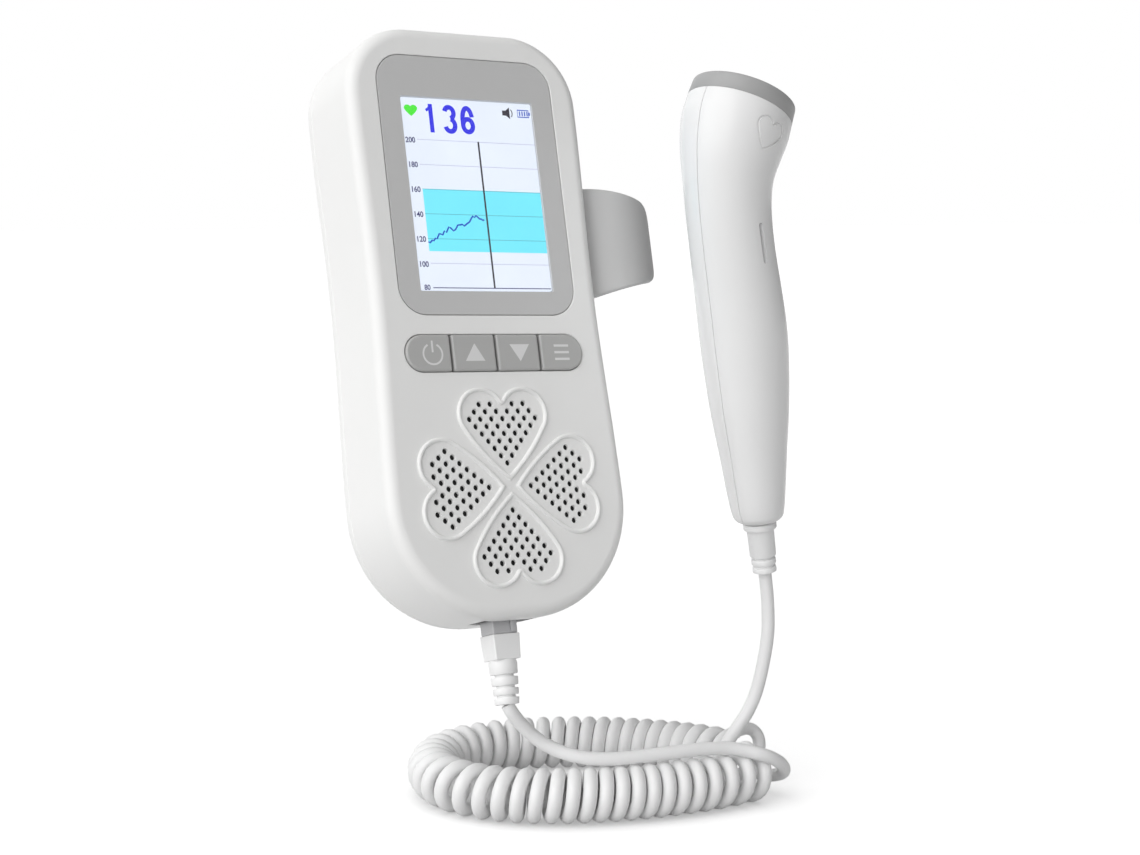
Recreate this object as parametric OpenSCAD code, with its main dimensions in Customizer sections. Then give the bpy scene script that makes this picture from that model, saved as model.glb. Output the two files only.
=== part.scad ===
// Hand-held fetal doppler monitor: main unit, curly lead and probe.
// The origin is on the main unit's flat back. +Z is up, and the unit's front faces -Y.
// The unit's own frame: X to the right, Y from the front face to the back, Z up from the screen's centre.

/* [Main unit] */
// Height of the unit
unit_h = 148.2; // [146:0.1:156]
// Width across the top
unit_top_w = 64.8; // [63:0.1:70]
// Width across the foot
unit_low_w = 66; // [64:0.1:72]
// How far each side draws in at the waist
unit_waist = 1.1; // [0:0.1:2]
// Depth from the front face to the back
unit_d = 28.5; // [28:0.1:32]
// Radius of the upper corners, seen from the front
unit_top_r = 18; // [17:0.5:20]
// Radius of the lower corners, seen from the front
unit_low_r = 29; // [26:0.5:31]
// Rounding of the front edge
front_edge_r = 3.2; // [2.6:0.1:4]
// Rounding of the back edge
back_edge_r = 5; // [4:0.1:6]
// Thickness of the shells
wall = 2.2; // [1.8:0.1:2.4]
// Depth of the seam between the shells
seam_y = 22.4; // [21:0.1:23]
// Play between a piece and the opening that it sits in
fit_gap = 0.15; // [0.1:0.01:0.25]

/* [Display] */
// Width of the lit picture
screen_w = 36.7; // [34:0.1:37]
// Height of the lit picture
screen_h = 49; // [46:0.1:50]
// Screen's centre below the top of the unit
screen_drop = 42.8; // [41:0.1:44]
// Width of the bezel plate
bezel_w = 48.8; // [46:0.1:50]
// Height of the bezel plate
bezel_h = 65.8; // [63:0.1:67]
// Height of the bezel's centre above the screen's centre
bezel_up = 2.3; // [1:0.1:3]
// Corner radius of the bezel plate
bezel_r = 7; // [5:0.1:9]
// Thickness of the bezel plate
bezel_t = 1.2; // [1:0.1:1.4]
// Thickness of the clear window
window_t = 0.8; // [0.6:0.1:0.9]
// Thickness of the picture panel
panel_t = 2.4; // [2:0.1:2.5]
// Wall of the tray behind the panel
tray_t = 0.6; // [0.5:0.1:0.7]

/* [Keys] */
// Length of the row of keys
keys_w = 49.2; // [46:0.1:50]
// Height of the row of keys
keys_h = 9.1; // [8:0.1:9.5]
// Distance of the row below the screen's centre
keys_drop = 40.2; // [39.8:0.1:41]
// Width of the groove between two keys
key_groove = 0.5; // [0.4:0.05:0.8]
// How far the keys stand proud
key_proud = 0.7; // [0.6:0.1:0.9]
// Travel of a key
key_travel = 0.5; // [0.4:0.05:0.6]

/* [Speaker clover] */
// Gap between the keys and the clover
clover_top_gap = 4.15; // [3.5:0.05:5]
// Gap between the clover and the foot
clover_foot_gap = 7.5; // [6:0.1:9]
// Radius of the two lobes of a heart
lobe_r = 6.6; // [6:0.1:6.8]
// Half distance between the lobes of a heart
lobe_x = 5.8; // [5.4:0.1:6]
// Distance of a heart's tip from the clover's centre
tip_out = 2.1; // [1.8:0.1:3]
// Width of the raised outline
heart_rib_w = 0.9; // [0.6:0.1:1.2]
// Height of the raised outline
heart_rib_h = 0.6; // [0.4:0.1:0.8]
// Diameter of a speaker hole
sound_hole_d = 1.2; // [0.8:0.1:1.3]
// Spacing of the holes in a row
sound_pitch = 3.1; // [2.8:0.05:3.2]
// Spacing of the rows
sound_row = 1.8; // [1.7:0.05:1.9]
// How far the loudspeaker's rim stays inside the clover
speaker_inset = 4.5; // [4:0.1:6]
// Thickness of the loudspeaker's basket
basket_h = 5.4; // [5:0.1:5.5]
// Radius of the loudspeaker's magnet
magnet_r = 9.5; // [8:0.1:11]

/* [Battery] */
// Diameter of a cell
cell_d = 14.4; // [14:0.1:14.5]
// Length of a cell with its pip
cell_l = 50.5; // [49:0.1:50.5]
// Width of the door
door_w = 38; // [36:0.1:40]
// How far the door reaches above the cells
door_over = 3.6; // [3:0.1:4]

/* [Holder] */
// Inner radius of the clip
clip_r = 11; // [10.6:0.1:11.5]
// Thickness of the clip
clip_t = 2; // [1.6:0.1:2.2]
// Height of the clip at the wall
clip_h = 28; // [24:0.1:30]
// Height of the clip at its free ends
clip_end_h = 21; // [18:0.1:23]
// Half of the angle that the mouth leaves open
clip_mouth = 28; // [20:1:40]
// Depth of the clip's centre behind the front face
clip_y = 16.5; // [16:0.1:17]
// Distance of the clip's middle below the screen's centre
clip_drop = 9.5; // [8:0.1:12]

/* [Plug and lead] */
// Width of the plug
plug_w = 6.8; // [6.6:0.1:7.3]
// Thickness of the plug
plug_d = 6.6; // [6:0.1:6.7]
// Length of the plug that shows below the unit
plug_out = 3; // [2.5:0.1:4]
// Length of the plug inside its socket
plug_in = 9; // [8:0.1:9.4]
// Depth of the plug's centre behind the front face
plug_y = 10.1; // [10:0.1:10.2]
// Distance of the plug's centre from the middle, to the right
plug_x = -2.2; // [-3:0.1:1]
// Length of the boot on the plug
boot_l = 17; // [15:0.1:17]
// Diameter of the lead
lead_d = 3.15; // [3:0.05:3.2]
// Outer diameter of a curl
curl_d = 13.4; // [13:0.1:13.6]

/* [Probe] */
// Thickness of the probe's shells
probe_wall = 1.8; // [1.6:0.1:2]
// Height of the ring round the head
ring_h = 4.4; // [3.8:0.1:5]
// Width of the ring's rim round the face
rim_w = 2; // [1.6:0.1:2.4]
// Height of the heart on the head
mark_h = 7.6; // [6:0.1:9]
// Length of the light slot
slot_l = 10; // [8:0.1:12]
// Width of the light slot
slot_w = 1; // [0.8:0.05:1.4]
// Length of the strain relief below the shells
relief_l = 13.3; // [13:0.1:13.3]

/* [Hidden] */
$fn = 48;

// Where the unit, the coil and the probe stand to each other
unit_lean = 16;
unit_roll = 1.7;
grip_z = 26;
floor_place = [28.2, -45.8, -170.5];
floor_turn = -31;
probe_place = [42.5, 4.6, 57];
probe_turn = 45;

function turn_x(p, a) = [p.x, p.y * cos(a) - p.z * sin(a), p.y * sin(a) + p.z * cos(a)];
function turn_y(p, a) = [p.x * cos(a) + p.z * sin(a), p.y, -p.x * sin(a) + p.z * cos(a)];
function turn_z(p, a) = [p.x * cos(a) - p.y * sin(a), p.x * sin(a) + p.y * cos(a), p.z];
function row_from_unit(p) = turn_x(turn_y(p - [0, unit_d, grip_z], unit_roll), -unit_lean);
function floor_from_row(p) = turn_z(p - floor_place, -floor_turn);
function floor_from_probe(p) = turn_z(p, probe_turn) + probe_place;

module unit_frame()
    rotate([-unit_lean, 0, 0]) rotate([0, unit_roll, 0]) translate([0, -unit_d, -grip_z]) children();

module floor_frame()
    translate(floor_place) rotate([0, 0, floor_turn]) children();

module probe_frame()
    floor_frame() translate(probe_place) rotate([0, 0, probe_turn]) children();

// A closed solid through rings of equally many points
module loft(rings) {
    sides = len(rings[0]);
    last = len(rings) - 1;
    polyhedron(
        points = [for (ring = rings) each ring],
        faces = concat(
            [[for (i = [0 : sides - 1]) i]],
            [[for (i = [sides - 1 : -1 : 0]) last * sides + i]],
            [for (j = [0 : last - 1], i = [0 : sides - 1])
                let (k = (i + 1) % sides, a = j * sides, b = a + sides)
                    each [[a + i, b + i, b + k], [a + i, b + k, a + k]]]));
}

// Along +Y from the plane Y = 0
module along_y(h) rotate([-90, 0, 0]) linear_extrude(h) mirror([0, 1]) children();

module rod_y(r, y0, y1) translate([0, y0, 0]) rotate([-90, 0, 0]) cylinder(r = r, h = y1 - y0);

module round_plate(w, h, r) {
    square([w - 2 * r, h], center = true);
    square([w, h - 2 * r], center = true);
    for (x = [-1, 1], y = [-1, 1])
        translate([x * (w / 2 - r), y * (h / 2 - r)]) circle(r);
}

// ---- Main unit: outer form ----

unit_top_z = screen_drop;
unit_low_z = screen_drop - unit_h;
top_centre = [unit_top_w / 2 - unit_top_r, unit_top_z - unit_top_r];
low_centre = [unit_low_w / 2 - unit_low_r, unit_low_z + unit_low_r];
corner_step = 15;
side_steps = 7;
edge_step = 30;

function mix(a, b, t) = a + (b - a) * t;
function unit_half(z) =
    let (t = (top_centre.y - z) / (top_centre.y - low_centre.y))
        mix(unit_top_w, unit_low_w, t) / 2 - unit_waist * pow(sin(180 * t), 2);

function half_outline(inset) = concat(
    [for (a = [90 : -corner_step : 0]) top_centre + (unit_top_r - inset) * [cos(a), sin(a)]],
    [for (i = [1 : side_steps - 1])
        let (z = mix(top_centre.y, low_centre.y, i / side_steps)) [unit_half(z) - inset, z]],
    [for (a = [0 : -corner_step : -90]) low_centre + (unit_low_r - inset) * [cos(a), sin(a)]]);

function unit_ring(inset, y) =
    let (right = half_outline(inset), count = len(right))
        concat([for (p = right) [p.x, y, p.y]],
               [for (i = [count - 1 : -1 : 0]) [-right[i].x, y, right[i].y]]);

function edge_rings(inset) =
    let (front = max(front_edge_r - inset, 0.8), back = max(back_edge_r - inset, 0.8))
        concat(
            [for (a = [0 : edge_step : 90])
                unit_ring(inset + front * (1 - sin(a)), inset + front * (1 - cos(a)))],
            [for (a = [90 : -edge_step : 0])
                unit_ring(inset + back * (1 - sin(a)), unit_d - inset - back * (1 - cos(a)))]);

module unit_form(inset) loft(edge_rings(inset));

module hollow_shell() difference() {
    unit_form(0);
    unit_form(wall);
}

module depth_band(y0, y1) translate([-100, y0, -150]) cube([200, y1 - y0, 250]);

// ---- Main unit: places that several pieces share ----

top_boss = [20, unit_top_z - 6.8];
boss_r = 2.6;
screw_r = 1;
screw_play = 0.05;
screw_head_r = 2;
screw_head_h = 1.6;
screw_sink = 2.4;
board_y = wall + 3.6;
board_t = 1.6;
board_half = 26;
board_top_z = screen_h / 2 + 8;
board_low_z = -keys_drop - 10.1;
low_boss = [26.5, board_low_z - 15.1];
board_post = [board_half - 2.5, board_top_z - 3.5];
board_post_low_z = board_low_z + 2.1;
board_post_r = 1.9;
board_screw_r = 0.9;
window_w = screen_w + 4;
window_h = screen_h + 4;
panel_w = screen_w + 6;
panel_h = screen_h + 11.3;
panel_up = -3;
panel_y = board_y - tray_t - panel_t;
socket_w = 13;
socket_d = 11;
socket_top_z = unit_low_z + wall + 11;
socket_low_z = unit_low_z + wall + 0.4;
port_w = 16.5;
port_d = 8.8;
jack_x = 12;
jack_r = 3;
jack_bore_r = 1.8;
jack_bore_l = 12;
jack_y = 14;
jack_body = [7, 6, 13];
jack_body_top_z = unit_top_z - wall - 0.3;
contact_t = 1.6;
cell_y = unit_d - wall - cell_d / 2 - fit_gap;
cell_x = cell_d / 2 + 0.3;
tub_wall = 1;
tub_low_z = socket_top_z + 1.5 + tub_wall;
cells_top_z = tub_low_z + contact_t + cell_l;
door_top_z = cells_top_z + door_over;
tub_half = 2 * cell_x + 0.1;
tub_top_z = cells_top_z + contact_t;
tub_floor_y = cell_y - cell_d / 2 - 0.1;
tub_rib_z = [door_top_z - 18, door_top_z - 48];
clip_x = unit_half(-clip_drop) + clip_r + clip_t;
clip_screw_z = 7;
clip_pad_w = 9;

module at_bosses() {
    for (side = [-1, 1]) {
        translate([side * top_boss.x, 0, top_boss.y]) children();
        translate([side * low_boss.x, 0, low_boss.y]) children();
    }
}

module at_board_posts() {
    for (side = [-1, 1], z = [board_post.y, board_post_low_z])
        translate([side * board_post.x, 0, z]) children();
}

// ---- Clover ----
// The hearts are sized for a clover of one reach, and grow or shrink with the room under the keys.

drawn_reach = 24.5;
clover_reach = (-keys_drop - keys_h / 2 - clover_top_gap - unit_low_z - clover_foot_gap) / 2;
clover_z = unit_low_z + clover_foot_gap + clover_reach;
clover_size = clover_reach / drawn_reach;
speaker_r = clover_reach - speaker_inset;
heart_lobe_r = lobe_r * clover_size;
heart_lobe_x = lobe_x * clover_size;
heart_tip = tip_out * clover_size;
lobe_out = clover_reach - heart_lobe_r;
tip_rise = lobe_out - heart_tip;
tip_reach = norm([heart_lobe_x, tip_rise]);

// A heart that stands on its tip, drawn in by inset all round
module heart(inset) {
    r = heart_lobe_r - inset;
    lean = atan2(heart_lobe_x, tip_rise) + asin(heart_lobe_r / tip_reach);
    tip = heart_tip + inset / sin(lean);
    touch = [heart_lobe_x + r * cos(lean), lobe_out - r * sin(lean)];
    notch = lobe_out + sqrt(max(r * r - heart_lobe_x * heart_lobe_x, 0));
    for (side = [-1, 1]) translate([side * heart_lobe_x, lobe_out]) circle(r);
    polygon([[0, tip], touch, [heart_lobe_x, lobe_out], [0, notch], [-heart_lobe_x, lobe_out], [-touch.x, touch.y]]);
}

module heart_rib() difference() {
    heart(0);
    heart(heart_rib_w);
}

// In-row places of the holes, from the lobes to the tip, in steps of the hole spacing
sound_rows = [
    [-2, -1, 1, 2], [-2.5, -1.5, -0.5, 0.5, 1.5, 2.5], [-3, -2, -1, 0, 1, 2, 3],
    [-2.5, -1.5, -0.5, 0.5, 1.5, 2.5], [-2, -1, 0, 1, 2], [-1.5, -0.5, 0.5, 1.5], [-1, 0, 1],
    [-0.5, 0.5], [0]
];
widest_row = 2;

module heart_holes()
    for (row = [0 : len(sound_rows) - 1], place = sound_rows[row])
        translate([place * sound_pitch * clover_size, lobe_out + (widest_row - row) * sound_row * clover_size])
            circle(sound_hole_d / 2, $fn = 16);

module at_clover() translate([0, 0, clover_z])
    for (turn = [0 : 90 : 270]) rotate([0, turn, 0]) children();

// ---- Shells ----

module key_slot(spread, h) translate([0, 0, -keys_drop]) along_y(h) {
    square([keys_w - keys_h, keys_h + 2 * spread], center = true);
    for (side = [-1, 1]) translate([side * (keys_w - keys_h) / 2, 0]) circle(keys_h / 2 + spread);
}

module front_shell() color("white") unit_frame() {
    difference() {
        union() {
            intersection() {
                hollow_shell();
                depth_band(-1, seam_y);
            }
            at_bosses() rod_y(boss_r, wall, seam_y);
            at_board_posts() rod_y(board_post_r, wall, board_y);
        }
        translate([0, -1, bezel_up]) along_y(bezel_t + 1)
            round_plate(bezel_w + 2 * fit_gap, bezel_h + 2 * fit_gap, bezel_r + fit_gap);
        translate([0, -1, 0]) along_y(wall + 2) round_plate(window_w, window_h, 1.5);
        translate([0, -1, 0]) key_slot(fit_gap, wall + 2);
        at_clover() translate([0, -1, 0]) along_y(wall + 2) heart_holes();
        translate([0, plug_y, unit_low_z]) cube([port_w, port_d, 3 * wall], center = true);
        translate([jack_x, jack_y, unit_top_z - wall - 1]) cylinder(r = jack_r + fit_gap, h = wall + 2);
        at_bosses() rod_y(screw_r + screw_play, wall + 4, seam_y + 1);
        at_board_posts() rod_y(board_screw_r + screw_play, wall + 1, board_y + 1);
        for (z = [-clip_screw_z, clip_screw_z])
            translate([unit_half(-clip_drop) - 2 * wall, clip_y, z - clip_drop])
                rotate([0, 90, 0]) cylinder(r = screw_r + screw_play, h = 3 * wall);
    }
    at_clover() translate([0, -heart_rib_h, 0]) along_y(heart_rib_h) heart_rib();
}

module door_opening(gap)
    translate([-door_w / 2 - gap, unit_d - wall - 0.1, -150])
        cube([door_w + 2 * gap, 10, door_top_z + 150 + gap]);

module door_lip(gap)
    translate([-door_w / 2 - gap, unit_d - back_edge_r - 0.6 - gap, -150])
        cube([door_w + 2 * gap, 20, unit_low_z + back_edge_r + 1.2 + 150 + gap]);

module rear_shell() color("white") unit_frame() difference() {
    union() {
        intersection() {
            hollow_shell();
            depth_band(seam_y, unit_d + 1);
        }
        at_bosses() rod_y(boss_r, seam_y, unit_d - wall);
        translate([-tub_half - tub_wall, tub_floor_y - tub_wall, tub_low_z - tub_wall])
            cube([2 * (tub_half + tub_wall), unit_d - wall - tub_floor_y + tub_wall,
                  door_top_z + tub_wall - tub_low_z + tub_wall]);
        for (z = tub_rib_z) intersection() {
            translate([-unit_top_w, seam_y + 0.1, z]) cube([2 * unit_top_w, hook_floor_y - seam_y - 0.1, tub_wall]);
            unit_form(wall / 2);
        }
    }
    translate([-tub_half, tub_floor_y, tub_low_z])
        cube([2 * tub_half, unit_d, tub_top_z - tub_low_z]);
    door_opening(fit_gap);
    door_lip(fit_gap);
    at_bosses() {
        rod_y(screw_r + screw_play, seam_y - 1, unit_d + 1);
        rod_y(screw_head_r + fit_gap, unit_d - screw_sink, unit_d + 1);
    }
}

hook_t = 1;
hook_reach = 1.6;
hook_l = 6;
hook_floor_y = unit_d - wall - fit_gap - hook_t - 0.3;

module battery_door() color("white") unit_frame() {
    intersection() {
        hollow_shell();
        union() {
            door_opening(0);
            door_lip(0);
        }
    }
    for (side = [-1, 1], z = [door_top_z - 8, door_top_z - 20])
        translate([side * (door_w / 2 - 1 + hook_reach / 2), unit_d - wall - fit_gap - hook_t / 2, z])
            difference() {
                cube([2 + hook_reach, hook_t + 2 * fit_gap, hook_l], center = true);
                translate([side * (1 + hook_reach / 2), hook_t / 2 + fit_gap, 0])
                    cube([2 * hook_reach, 2 * fit_gap, 2 * hook_l], center = true);
            }
}

// ---- Display ----

module display_bezel() color("darkgray") unit_frame() difference() {
    translate([0, 0, bezel_up]) along_y(bezel_t) round_plate(bezel_w, bezel_h, bezel_r);
    translate([0, -1, 0]) along_y(bezel_t + 2) square([screen_w + 0.3, screen_h + 0.3], center = true);
}

module display_window() color("lightcyan") unit_frame()
    translate([0, bezel_t, 0]) along_y(window_t)
        round_plate(window_w - 2 * fit_gap, window_h - 2 * fit_gap, 1.5 - fit_gap);

module lcd_panel() color("lavender") unit_frame()
    translate([-panel_w / 2, panel_y, panel_up - panel_h / 2]) cube([panel_w, panel_t, panel_h]);

module lcd_tray() color("dimgray") unit_frame() difference() {
    translate([-panel_w / 2 - tray_t, panel_y, panel_up - panel_h / 2 - tray_t])
        cube([panel_w + 2 * tray_t, panel_t + tray_t, panel_h + 2 * tray_t]);
    translate([-panel_w / 2, panel_y - 1, panel_up - panel_h / 2]) cube([panel_w, panel_t + 1, panel_h]);
}

module main_board() color("darkgreen") unit_frame() difference() {
    translate([-board_half, board_y, board_low_z]) cube([2 * board_half, board_t, board_top_z - board_low_z]);
    at_board_posts() rod_y(board_screw_r + screw_play, board_y - 1, board_y + board_t + 1);
}

module board_screws() color("silver") unit_frame() at_board_posts() {
    rod_y(board_screw_r, wall + 1.4, board_y + board_t);
    rod_y(1.8, board_y + board_t, board_y + board_t + 1.2);
}

// ---- Keys ----

key_pitch = keys_w / 4;
key_back_y = wall + 0.3;
flange_t = 0.8;
flange_reach = 0.9;
stem_end_y = key_back_y + flange_t + 0.5;
plunger_y = stem_end_y + key_travel + 0.1;

module key_outline(index, spread) intersection() {
    union() {
        square([keys_w - keys_h, keys_h + 2 * spread], center = true);
        for (side = [-1, 1]) translate([side * (keys_w - keys_h) / 2, 0]) circle(keys_h / 2 + spread);
    }
    translate([(index - 2) * key_pitch + (index == 0 ? -spread : key_groove / 2), -keys_h])
        square([key_pitch - key_groove / (index == 0 || index == 3 ? 2 : 1)
                + (index == 0 || index == 3 ? spread : 0), 2 * keys_h]);
}

module key(index) color("gray") unit_frame() translate([0, 0, -keys_drop]) {
    translate([0, -key_proud, 0]) along_y(key_proud + key_back_y) key_outline(index, 0);
    translate([0, key_back_y, 0]) along_y(flange_t) key_outline(index, flange_reach);
    translate([(index - 1.5) * key_pitch, 0, 0]) rod_y(1.4, key_back_y + flange_t, stem_end_y);
}

module key_switches() color("black") unit_frame() for (index = [0 : 3])
    translate([(index - 1.5) * key_pitch, 0, -keys_drop]) {
        translate([-3, board_y - 0.8, -3]) cube([6, 0.8, 6]);
        rod_y(1.5, plunger_y, board_y - 0.8);
    }

// ---- Loudspeaker ----

flange_in = speaker_r - 3;

module spun_y(z) translate([0, 0, z]) rotate([-90, 0, 0]) rotate_extrude($fn = 64) children();

module speaker_basket() color("dimgray") unit_frame() spun_y(clover_z) polygon([
    [flange_in, wall], [speaker_r, wall], [speaker_r, wall + 1], [flange_in + 0.6, wall + 1],
    [magnet_r + 1.5, wall + basket_h], [magnet_r - 3, wall + basket_h],
    [magnet_r - 3, wall + basket_h - 0.7], [magnet_r + 1, wall + basket_h - 0.7], [flange_in, wall + 1]]);

module speaker_cone() color("black") unit_frame() spun_y(clover_z) polygon([
    [0, wall + 2.2], [4, wall + 2.8], [6, wall + 3.6], [flange_in - 2, wall + 0.6],
    [flange_in, wall + 0.4], [flange_in, wall + 0.7], [flange_in - 2, wall + 1],
    [6, wall + 4], [4, wall + 3.2], [0, wall + 2.6]]);

module speaker_magnet() color("silver") unit_frame() translate([0, 0, clover_z]) {
    rod_y(magnet_r, wall + basket_h, wall + basket_h + 2.2);
    rod_y(magnet_r - 3 - fit_gap, wall + basket_h - 1.2, wall + basket_h);
}

// ---- Battery ----

pip_l = 1;

module cell(up) translate([0, cell_y, cells_top_z - cell_l / 2]) rotate([up ? 0 : 180, 0, 0])
    translate([0, 0, -cell_l / 2]) {
        cylinder(r = cell_d / 2, h = cell_l - pip_l);
        cylinder(r = 2.7, h = cell_l);
    }

module battery_cells() color("steelblue") unit_frame()
    for (side = [-1, 1]) translate([side * cell_x, 0, 0]) cell(side > 0);

leaf_t = 0.4;
leaf_w = 10;

// A leaf on each end of the compartment, with a spring or a pip towards the cell
module contact(spring) {
    translate([-leaf_w / 2, -leaf_w / 2, 0]) cube([leaf_w, leaf_w, leaf_t]);
    translate([0, 0, leaf_t]) difference() {
        cylinder(r1 = spring ? 4 : 2.2, r2 = spring ? 3 : 1.8, h = contact_t - leaf_t);
        if (spring) translate([0, 0, 0.1]) cylinder(r = 2.2, h = contact_t);
    }
}

module battery_contacts() color("gold") unit_frame()
    for (side = [-1, 1]) translate([side * cell_x, cell_y, 0]) {
        translate([0, 0, tub_low_z]) contact(side > 0);
        translate([0, 0, tub_top_z]) rotate([180, 0, 0]) contact(side < 0);
    }

// ---- Sockets ----

module earphone_jack() color("black") unit_frame() translate([jack_x, jack_y, 0]) difference() {
    union() {
        translate([-jack_body.x / 2, -jack_body.y / 2, jack_body_top_z - jack_body.z]) cube(jack_body);
        translate([0, 0, unit_top_z - wall - 1]) cylinder(r = jack_r, h = wall + 1);
    }
    translate([0, 0, unit_top_z - wall - jack_bore_l]) cylinder(r = jack_bore_r, h = jack_bore_l + wall + 1);
}

module probe_socket() color("dimgray") unit_frame() difference() {
    translate([-socket_w / 2, plug_y - socket_d / 2, socket_low_z])
        cube([socket_w, socket_d, socket_top_z - socket_low_z]);
    translate([plug_x - plug_w / 2 - fit_gap, plug_y - plug_d / 2 - fit_gap, socket_low_z - 1])
        cube([plug_w + 2 * fit_gap, plug_d + 2 * fit_gap, plug_in + fit_gap - wall + 1]);
    translate([plug_x, plug_y - plug_d / 2 - 1, socket_low_z - 1])
        translate([latch_x - latch_w / 2 - fit_gap, -0.2, 0])
            cube([latch_w + 2 * fit_gap, 2, plug_in + fit_gap - wall + 1]);
}

module housing_screws() color("silver") unit_frame() at_bosses() {
    rod_y(screw_r, seam_y - 9, unit_d - screw_sink);
    rod_y(screw_head_r, unit_d - screw_sink, unit_d - screw_sink + screw_head_h);
}

// ---- Probe holder ----

// Outline of the clip, unrolled: a tongue that narrows to its rounded free ends
module clip_side() {
    reach = 2 * (clip_r + clip_t);
    corner = 5;
    for (half = [0, 1]) mirror([0, half]) difference() {
        square([reach + 1, clip_h / 2]);
        polygon([[3, clip_h / 2 + 0.01], [reach + 2, clip_h / 2 + 0.01], [reach + 2, clip_end_h / 2 - 2],
                 [reach - corner / 2, clip_end_h / 2 - 1], [reach - corner, clip_end_h / 2]]);
    }
}

module probe_holder() color("gray") unit_frame() difference() {
    translate([clip_x, clip_y, -clip_drop]) {
        intersection() {
            translate([0, 0, -clip_h / 2]) cylinder(r = clip_r + clip_t, h = clip_h, $fn = 96);
            translate([-clip_r - clip_t, clip_r + clip_t + 1, 0]) rotate([90, 0, 0])
                linear_extrude(2 * (clip_r + clip_t + 1)) clip_side();
        }
        translate([-clip_r - clip_t, -clip_pad_w / 2, -clip_h / 2]) cube([5, clip_pad_w, clip_h]);
    }
    translate([clip_x, clip_y, -clip_drop - clip_h]) {
        cylinder(r = clip_r, h = 2 * clip_h, $fn = 96);
        linear_extrude(2 * clip_h)
            polygon([[0, 0], 30 * [cos(clip_mouth), sin(clip_mouth)], 30 * [cos(clip_mouth), -sin(clip_mouth)]]);
    }
    unit_form(-0.03);
    for (z = [-clip_screw_z, clip_screw_z])
        translate([clip_x - clip_r - clip_t - 1, clip_y, z - clip_drop])
            rotate([0, 90, 0]) cylinder(r = screw_r + screw_play, h = 6);
}

module holder_screws() color("silver") unit_frame()
    for (z = [-clip_screw_z, clip_screw_z])
        translate([unit_half(-clip_drop) - wall - 0.3, clip_y, z - clip_drop]) rotate([0, 90, 0]) {
            translate([0, 0, -1.2]) cylinder(r = 1.8, h = 1.2);
            cylinder(r = screw_r, h = wall + clip_t);
        }

// ---- Plug and boot ----

latch_w = 1.4;
latch_x = 2;
plug_end_z = unit_low_z - plug_out;
boot_end_z = plug_end_z - boot_l;
block_l = 6;
boot_r = 3.6;
boot_tip_r = 3;
rib_gap = 0.7;
rib_places = [10, 12.7, 15];

module modular_plug() color("lightgray") unit_frame() translate([plug_x, 0, 0]) {
    difference() {
        translate([-plug_w / 2, plug_y - plug_d / 2, plug_end_z]) cube([plug_w, plug_d, plug_out + plug_in]);
        for (i = [0 : 3])
            translate([(i - 1.5) * 1.27 - 0.25, plug_y + plug_d / 2 - 1.4, plug_end_z + plug_out + plug_in - 5])
                cube([0.5, 2, 6]);
    }
    translate([latch_x - latch_w / 2, plug_y - plug_d / 2 - 0.8, plug_end_z + 0.4])
        cube([latch_w, 0.8, plug_out + plug_in - 4]);
}

module plug_contacts() color("gold") unit_frame() translate([plug_x, 0, 0])
    for (i = [0 : 3])
        translate([(i - 1.5) * 1.27 - 0.2, plug_y + plug_d / 2 - 1.4, plug_end_z + plug_out + plug_in - 5])
            cube([0.4, 1.2, 4.6]);

module plug_boot() color("white") unit_frame() translate([plug_x, plug_y, 0]) difference() {
    union() {
        hull() for (end = [[0, 0.1], [block_l, -0.15]])
            translate([-plug_w / 2 - end[1], -plug_d / 2 - end[1], plug_end_z - end[0] - 0.01])
                cube([plug_w + 2 * end[1], plug_d + 2 * end[1], 0.01]);
        translate([0, 0, boot_end_z])
            cylinder(r1 = boot_tip_r, r2 = boot_r, h = boot_l - block_l);
    }
    for (place = rib_places, half = [0, 1])
        translate([0, 0, plug_end_z - place - rib_gap / 2]) rotate([0, 0, 90 * half]) difference() {
            translate([-5, -5, 0]) cube([10, 10, rib_gap]);
            translate([-5, -0.9, -1]) cube([10, 1.8, 3]);
            translate([0, 0, -1]) cylinder(r = lead_d / 2 + 0.4, h = 3);
        }
}

// ---- Lead ----

lead_r = lead_d / 2;
curl_r = (curl_d - lead_d) / 2;
curl_mid_h = curl_d / 2;
coil_sides = 6;
rings_per_curl = 8;
lead_sides = 8;
straight_l = lead_d;

// Middle line of the coil on the floor, and how many curls lie in each span
coil_path = [
    [39.5, -6.8], [29, -14.6], [17.5, -20.5], [5, -24.8], [-8, -27], [-18, -26.8], [-28, -23.8],
    [-36, -18], [-41, -10], [-42.7, -1], [-41, 8.3], [-35.5, 16], [-27, 21.5], [-17, 24.5],
    [-5, 25.5], [7, 24.3], [18, 21.2], [26.5, 17.2], [34, 12]
];
coil_curls = [2.75, 3, 3.25, 3, 2.25, 2.25, 2, 2, 2, 2, 1.75, 2.25, 2.25, 2.75, 3, 2.75, 2.25, 1.5];

function running(list, i = 0, sum = 0) =
    i == len(list) ? [sum] : concat([sum], running(list, i + 1, sum + list[i]));
curls_before = running(coil_curls);
curl_count = curls_before[len(coil_curls)];

function path_point(i) =
    i < 0 ? 2 * coil_path[0] - coil_path[1]
    : i >= len(coil_path) ? 2 * coil_path[len(coil_path) - 1] - coil_path[len(coil_path) - 2]
    : coil_path[i];
function spline(a, b, c, d, t) =
    0.5 * (2 * b + (c - a) * t + (2 * a - 5 * b + 4 * c - d) * t * t + (3 * b - a - 3 * c + d) * t * t * t);
function spline_way(a, b, c, d, t) =
    0.5 * ((c - a) + 2 * (2 * a - 5 * b + 4 * c - d) * t + 3 * (3 * b - a - 3 * c + d) * t * t);
function span_of(curl, i = 0) =
    i == len(coil_curls) - 1 || curl < curls_before[i + 1] ? i : span_of(curl, i + 1);
function unit_vector(v) = v / norm(v);

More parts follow.
